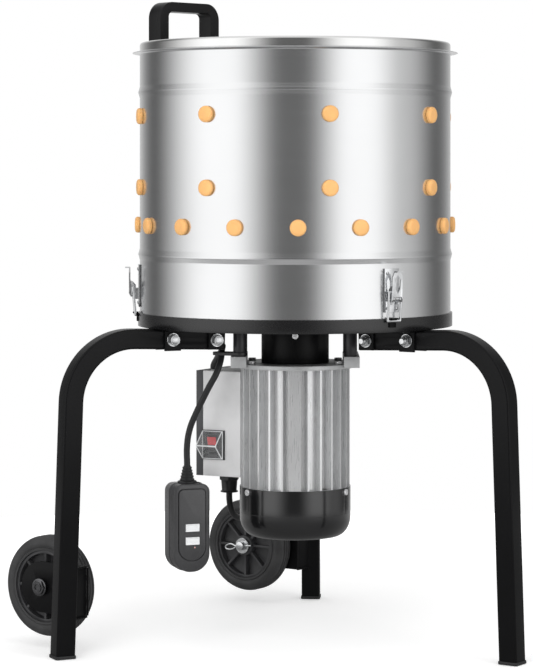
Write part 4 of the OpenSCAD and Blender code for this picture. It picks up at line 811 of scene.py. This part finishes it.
# Feather plate and its shaft
# A stainless disc with holes for its fingers, clamped on the gearbox's shaft by a nut.
disc_steel = grained("disc_steel", (0.60, 0.60, 0.595), metal=1, rough=0.3, grain=1800,
                     stretch=(1, 0.01, 1), depth=0.00001, shade=0.06, patch=8)
machined = grained("machined_steel", (0.42, 0.42, 0.43), metal=1, rough=0.34, grain=1600,
                   stretch=(1, 1, 0.05), depth=0.00001, shade=0.1, patch=90)
dressed("feather_plate", "feather_disc", disc_steel, 0.0006)
dressed("plate_shaft", "disc_shaft", machined, 0.0004)
for i in (1, 2, 3):
    dressed(f"planet_gear_{i}", f"planet_{i}_wheel", machined, 0)


# Gearbox
# A black round housing between the motor and the tray, with the fixed gear ring cut inside it.
dressed("gearbox_housing", "gear_housing", black_coat, 0.0008)
dressed("bearings", "bearing_rings", machined, 0.0003)


# Motor
# A finned aluminium motor hung under the tray by four bolts: cast top shield with two ears, finned
# body, wound stator, rotor with its shaft, cast end shield, fan, and a black fan cover.
core_z, core_half, seam_rise = 0.270, 0.0353, 0.031
cast_alloy = grained("cast_alloy", (0.53, 0.535, 0.54), metal=0.5, rough=0.44, grain=1100, depth=0.00008,
                     shade=0.1, patch=60)
fin_alloy = grained("fin_alloy", (0.76, 0.765, 0.77), metal=0.65, rough=0.28, grain=1500,
                    stretch=(1, 1, 0.02), depth=0.000002, shade=0.05, patch=20, gloss=0.01)
dressed("motor_shield", "top_shield", cast_alloy, 0.0008)
dressed("motor_body", "finned_body", fin_alloy, 0.0009)
core_steel = grained("core_steel", (0.30, 0.30, 0.31), metal=1, rough=0.42, grain=2000,
                     stretch=(0.02, 0.02, 1), depth=0.00006, shade=0.15, patch=40)
copper = grained("enamelled_copper", (0.48, 0.17, 0.07), metal=1, rough=0.3, grain=1500,
                 stretch=(0.04, 0.04, 1), depth=0.00012, shade=0.2, patch=60)
stator = dressed("stator", "wound_stator", core_steel, 0.0005)
second_finish(stator, copper, lambda middle: abs(middle.z - core_z) > core_half)
dressed("rotor", "rotor_core", core_steel, 0.0003)
cover_black = grained("cover_black", (0.0050, 0.0050, 0.0055), rough=0.18, grain=900, depth=0.000006,
                      patch=20, gloss=0.02, Specular_IOR_Level=0.55, Coat_Weight=0.75,
                      Coat_Roughness=0.16)
dressed("cooling_fan", "fan_wheel", foot_plastic, 0.0004)
dressed("end_shield", "bottom_shield", cast_alloy, 0.0005)
dressed("fan_cover", "fan_hood", cover_black, 0.0004)
seam_line = [(0.0711, -0.0005), (0.0716, -0.0003), (0.0718, 0), (0.0716, 0.0003), (0.0711, 0.0005)]
hood_line = turned("hood_line", seam_line, 128)
hood_seam = Matrix.Translation((0, axis_y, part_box("fan_cover")[0][2] + seam_rise))
finished(hood_line, hood_seam, cover_black, "frame")
standoff_black = grained("standoff_black", (0.020, 0.020, 0.022), rough=0.35, grain=800, depth=0.00004,
                         patch=40)
dressed("standoffs", "spacers", standoff_black, 0.0005)
dressed("standoff_bolts", "motor_bolts", zinc, 0.0006)
screw_zinc = grained("screw_zinc", (0.86, 0.86, 0.87), metal=0.55, rough=0.25, grain=700, depth=0.00001,
                     shade=0.08, patch=220)
dressed("small_screws", "pan_screws", screw_zinc, 0.0007)


# Junction box and switch
# A light grey cast box with a dark lid, screwed to the motor's side. It holds the capacitor. A rocker
# switch under a clear gable-shaped boot is clipped into its side wall.
red_above = 0.2493
boot_ends, boot_foot, boot_ridge, foot_half = (0.0828, 0.1112), 0.0452, 0.0620, 0.0176
box_grey = grained("box_grey", (0.72, 0.72, 0.725), rough=0.42, grain=1000, depth=0.00007, shade=0.07,
                   patch=30)
lid_dark = grained("lid_dark", (0.060, 0.061, 0.065), rough=0.42, grain=1400, depth=0.00005, shade=0.1,
                   patch=30)
can_grey = grained("can_white", (0.62, 0.62, 0.60), rough=0.35, grain=700, depth=0.00001, shade=0.05,
                   patch=40)
dressed("junction_box", "switch_box", box_grey, 0.0012, steps=3)
dressed("box_lid", "box_cover", lid_dark, 0.0014, steps=3)
dressed("capacitor", "capacitor_can", can_grey, 0.0012)
dressed("switch_body", "switch_frame", case_black, 0.0006)
rocker_red = grained("rocker_red", (0.62, 0.02, 0.025), rough=0.22, grain=2500, depth=0.000008,
                     shade=0.08, patch=90, Coat_Weight=0.4, Coat_Roughness=0.1)
rocker = dressed("switch_rocker", "rocker_key", case_black, 0.0005)
second_finish(rocker, rocker_red, lambda middle: middle.z > red_above)
clear = grained("boot_silicone", (0.80, 0.82, 0.83), rough=0.16, grain=900, depth=0.00004, shade=0.03,
                patch=60, gloss=0.06, IOR=1.41, Alpha=0.08, Specular_IOR_Level=0.9)
dressed("switch_boot", "switch_hood", clear, 0.0006, steps=3)
milky = grained("boot_welt", (0.86, 0.87, 0.88), rough=0.25, grain=900, depth=0.00003, shade=0.03,
                patch=60, IOR=1.41, Alpha=0.9)
boot_low, boot_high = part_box("switch_boot")
boot_z = (boot_low[2] + boot_high[2]) / 2
gable = [(0.0462, -0.0172), (0.0618, -0.0012), (0.0618, 0.0012), (0.0462, 0.0172)]
welts = [wire("welt", [(x, y, z) for y, z in gable], 0.0007, soft=False) for x in boot_ends]
welts.append(wire("welt", [(x, boot_ridge, 0) for x in boot_ends], 0.0011, soft=False))
foot_low, foot_high = boot_ends[0] - 0.0006, boot_ends[1] + 0.0006
foot = [(foot_low, boot_foot, -foot_half), (foot_high, boot_foot, -foot_half),
        (foot_high, boot_foot, foot_half), (foot_low, boot_foot, foot_half)]
welts.append(wire("welt", foot, 0.0008, closed=True, soft=False))
welt = joined(welts, "hood_welts")
finished(welt, round_axis(box_azimuth, 0, boot_z), milky, "frame", 40)


# Cable gland
# A black nylon gland under the box. Its long tapered end has fingers that grip the lead.
bore, nut_z, neck_r, neck_low, neck_high = 0.0046, 0.0167, 0.0079, 0.024, 0.0330
nut = hex_head(0.0238, 0.0082)
nut.data.transform(Matrix.Translation((0, 0, nut_z)))
cap_line = [(bore, 0.0), (0.0104, 0.0), (0.0114, 0.0004), (0.0116, 0.0012), (0.0110, 0.0018),
            (0.0099, 0.0024), (0.0097, 0.0034), (0.0106, 0.0150), (0.0112, 0.0158), (0.0112, 0.0169),
            (bore, 0.0169)]
collar = turned("gland_collar", cap_line, 48)
neck_line = [(bore, neck_low), (neck_r, neck_low), (neck_r, neck_high), (bore, neck_high)]
neck = turned("gland_neck", neck_line, 40)
gland = joined([nut, collar, neck], "lead_gland")
gland_nylon = grained("gland_nylon", (0.02, 0.02, 0.021), rough=0.34, grain=1700, depth=0.00003, patch=60)
finished(gland, Matrix.Translation(gland_exit), gland_nylon, "frame")
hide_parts("cable_gland")


# Cable ties
# Black nylon straps: one hangs the wound lead from the leg's arm, one holds it by a spacer.
dressed("cable_ties", "lead_ties", gland_nylon, 0.0002)


# Floor and light
# A round pale floor, white to the camera except in the object's shadow and dimmer in the steel, with
# lamps at both sides and above. Dark panels in the white studio give the steel its upright bands.
floor_r, fade, floor_glow, glow_in_steel = 1.3, (0.65, 1.15), (0.36, 0.85), 0.35
bpy.ops.object.select_all(action="DESELECT")
bpy.ops.mesh.primitive_circle_add(vertices=128, radius=floor_r, fill_type="NGON",
                                  location=(0, 0, -0.0005))
ground = bpy.context.object
ground.name = "floor"
bpy.ops.object.transform_apply(location=True)


def ramp(tree, source, stops, ease="EASE"):
    """A grey ramp over a value: stops are (place, grey)."""
    node = tree.nodes.new("ShaderNodeValToRGB")
    node.color_ramp.interpolation = ease
    for i, (place, grey) in enumerate(stops):
        stop = node.color_ramp.elements[i] if i < 2 else node.color_ramp.elements.new(place)
        stop.position, stop.color = place, (grey, grey, grey, 1)
    tree.links.new(source, node.inputs["Fac"])
    return node.outputs["Color"]


def combined(tree, operation, first, second):
    """A math node over two values."""
    node = tree.nodes.new("ShaderNodeMath")
    node.operation = operation
    tree.links.new(first, node.inputs[0])
    tree.links.new(second, node.inputs[1])
    return node.outputs[0]


def rays(tree, *kinds):
    """One for the kinds of ray that are named, and nought for the others."""
    path = tree.nodes.new("ShaderNodeLightPath")
    total = path.outputs[kinds[0]]
    for kind in kinds[1:]:
        total = combined(tree, "MAXIMUM", total, path.outputs[kind])
    return total


pale = bpy.data.materials.new("pale_floor")
pale.use_nodes = True
tree = pale.node_tree
shader = tree.nodes["Principled BSDF"]
shader.inputs["Roughness"].default_value = 0.9
shader.inputs["Emission Color"].default_value = (1, 1, 1, 1)
floor_tone = ramp(tree, rays(tree, "Is Glossy Ray"), ((0, 0.86), (1, 0.15)), "LINEAR")
tree.links.new(floor_tone, shader.inputs["Base Color"])
spot = tree.nodes.new("ShaderNodeTexCoord")
reach = tree.nodes.new("ShaderNodeVectorMath")
reach.operation = "LENGTH"
tree.links.new(spot.outputs["Object"], reach.inputs[0])
glow = ranged(tree, reach.outputs["Value"], fade, floor_glow)
in_steel = ranged(tree, rays(tree, "Is Glossy Ray"), (0, 1), (0, glow_in_steel))
share = combined(tree, "MAXIMUM", in_steel, rays(tree, "Is Camera Ray", "Is Transmission Ray"))
tree.links.new(combined(tree, "MULTIPLY", glow, share), shader.inputs["Emission Strength"])
ground.data.materials.append(pale)
panel_turn = 142
panels = ((0, 0.6), (50, 0.09), (110, 1), (128, 1), (166, 0.11), (182, 0.11), (216, 1), (232, 1),
          (262, 0.5), (302, 0.1), (360, 0.6))
world = bpy.data.worlds.new("studio")
bpy.context.scene.world = world
world.use_nodes = True
tree = world.node_tree
way = tree.nodes.new("ShaderNodeTexCoord")
turn = tree.nodes.new("ShaderNodeMapping")
turn.inputs["Rotation"].default_value = (0, 0, math.radians(panel_turn))
round_about = tree.nodes.new("ShaderNodeTexGradient")
round_about.gradient_type = "RADIAL"
split = tree.nodes.new("ShaderNodeSeparateXYZ")
tree.links.new(way.outputs["Generated"], turn.inputs["Vector"])
tree.links.new(turn.outputs["Vector"], round_about.inputs["Vector"])
tree.links.new(way.outputs["Generated"], split.inputs["Vector"])


def studio(tree, colour, strength=1.0):
    """A background light of one grey or of a linked colour."""
    light = tree.nodes.new("ShaderNodeBackground")
    light.inputs["Strength"].default_value = strength
    if isinstance(colour, float):
        light.inputs["Color"].default_value = (colour, colour, colour, 1)
    else:
        tree.links.new(colour, light.inputs["Color"])
    return light.outputs[0]


def either(tree, factor, first, second):
    """The first light where the factor is nought, and the second where it is one."""
    mix = tree.nodes.new("ShaderNodeMixShader")
    tree.links.new(factor, mix.inputs[0])
    tree.links.new(first, mix.inputs[1])
    tree.links.new(second, mix.inputs[2])
    return mix.outputs[0]


stops = [(degrees / 360, grey) for degrees, grey in panels]
around = studio(tree, ramp(tree, round_about.outputs["Fac"], stops), 1.28)
overhead = ramp(tree, split.outputs["Z"], ((0.5, 0), (0.9, 1)))
mirrored = either(tree, overhead, around, studio(tree, 0.9))
lit = either(tree, rays(tree, "Is Glossy Ray"), studio(tree, 0.70), mirrored)
shown = either(tree, rays(tree, "Is Camera Ray", "Is Transmission Ray"), lit, studio(tree, 1.0))
tree.links.new(shown, tree.nodes["World Output"].inputs["Surface"])
lamps = (("left_lamp", 190, 2.4, 0.8, 1.0, 2.6, 26), ("right_lamp", 258, 2.4, 1.1, 1.0, 2.6, 14),
         ("top_lamp", 214, 0.9, 2.9, 2.0, 2.0, 14))
for name, azimuth, away, height, size_x, size_y, power in lamps:
    angle = math.radians(azimuth)
    place = (away * math.cos(angle), axis_y + away * math.sin(angle), height)
    bpy.ops.object.light_add(type="AREA", location=place)
    lamp = bpy.context.object
    lamp.name = name
    lamp.data.shape = "RECTANGLE"
    lamp.data.size, lamp.data.size_y, lamp.data.energy = size_x, size_y, power
    lamp.visible_glossy = False
    aim = Vector((0, axis_y, 0.45)) - lamp.location
    lamp.rotation_euler = aim.to_track_quat("-Z", "Y").to_euler()
bpy.context.scene.view_settings.view_transform = "Standard"
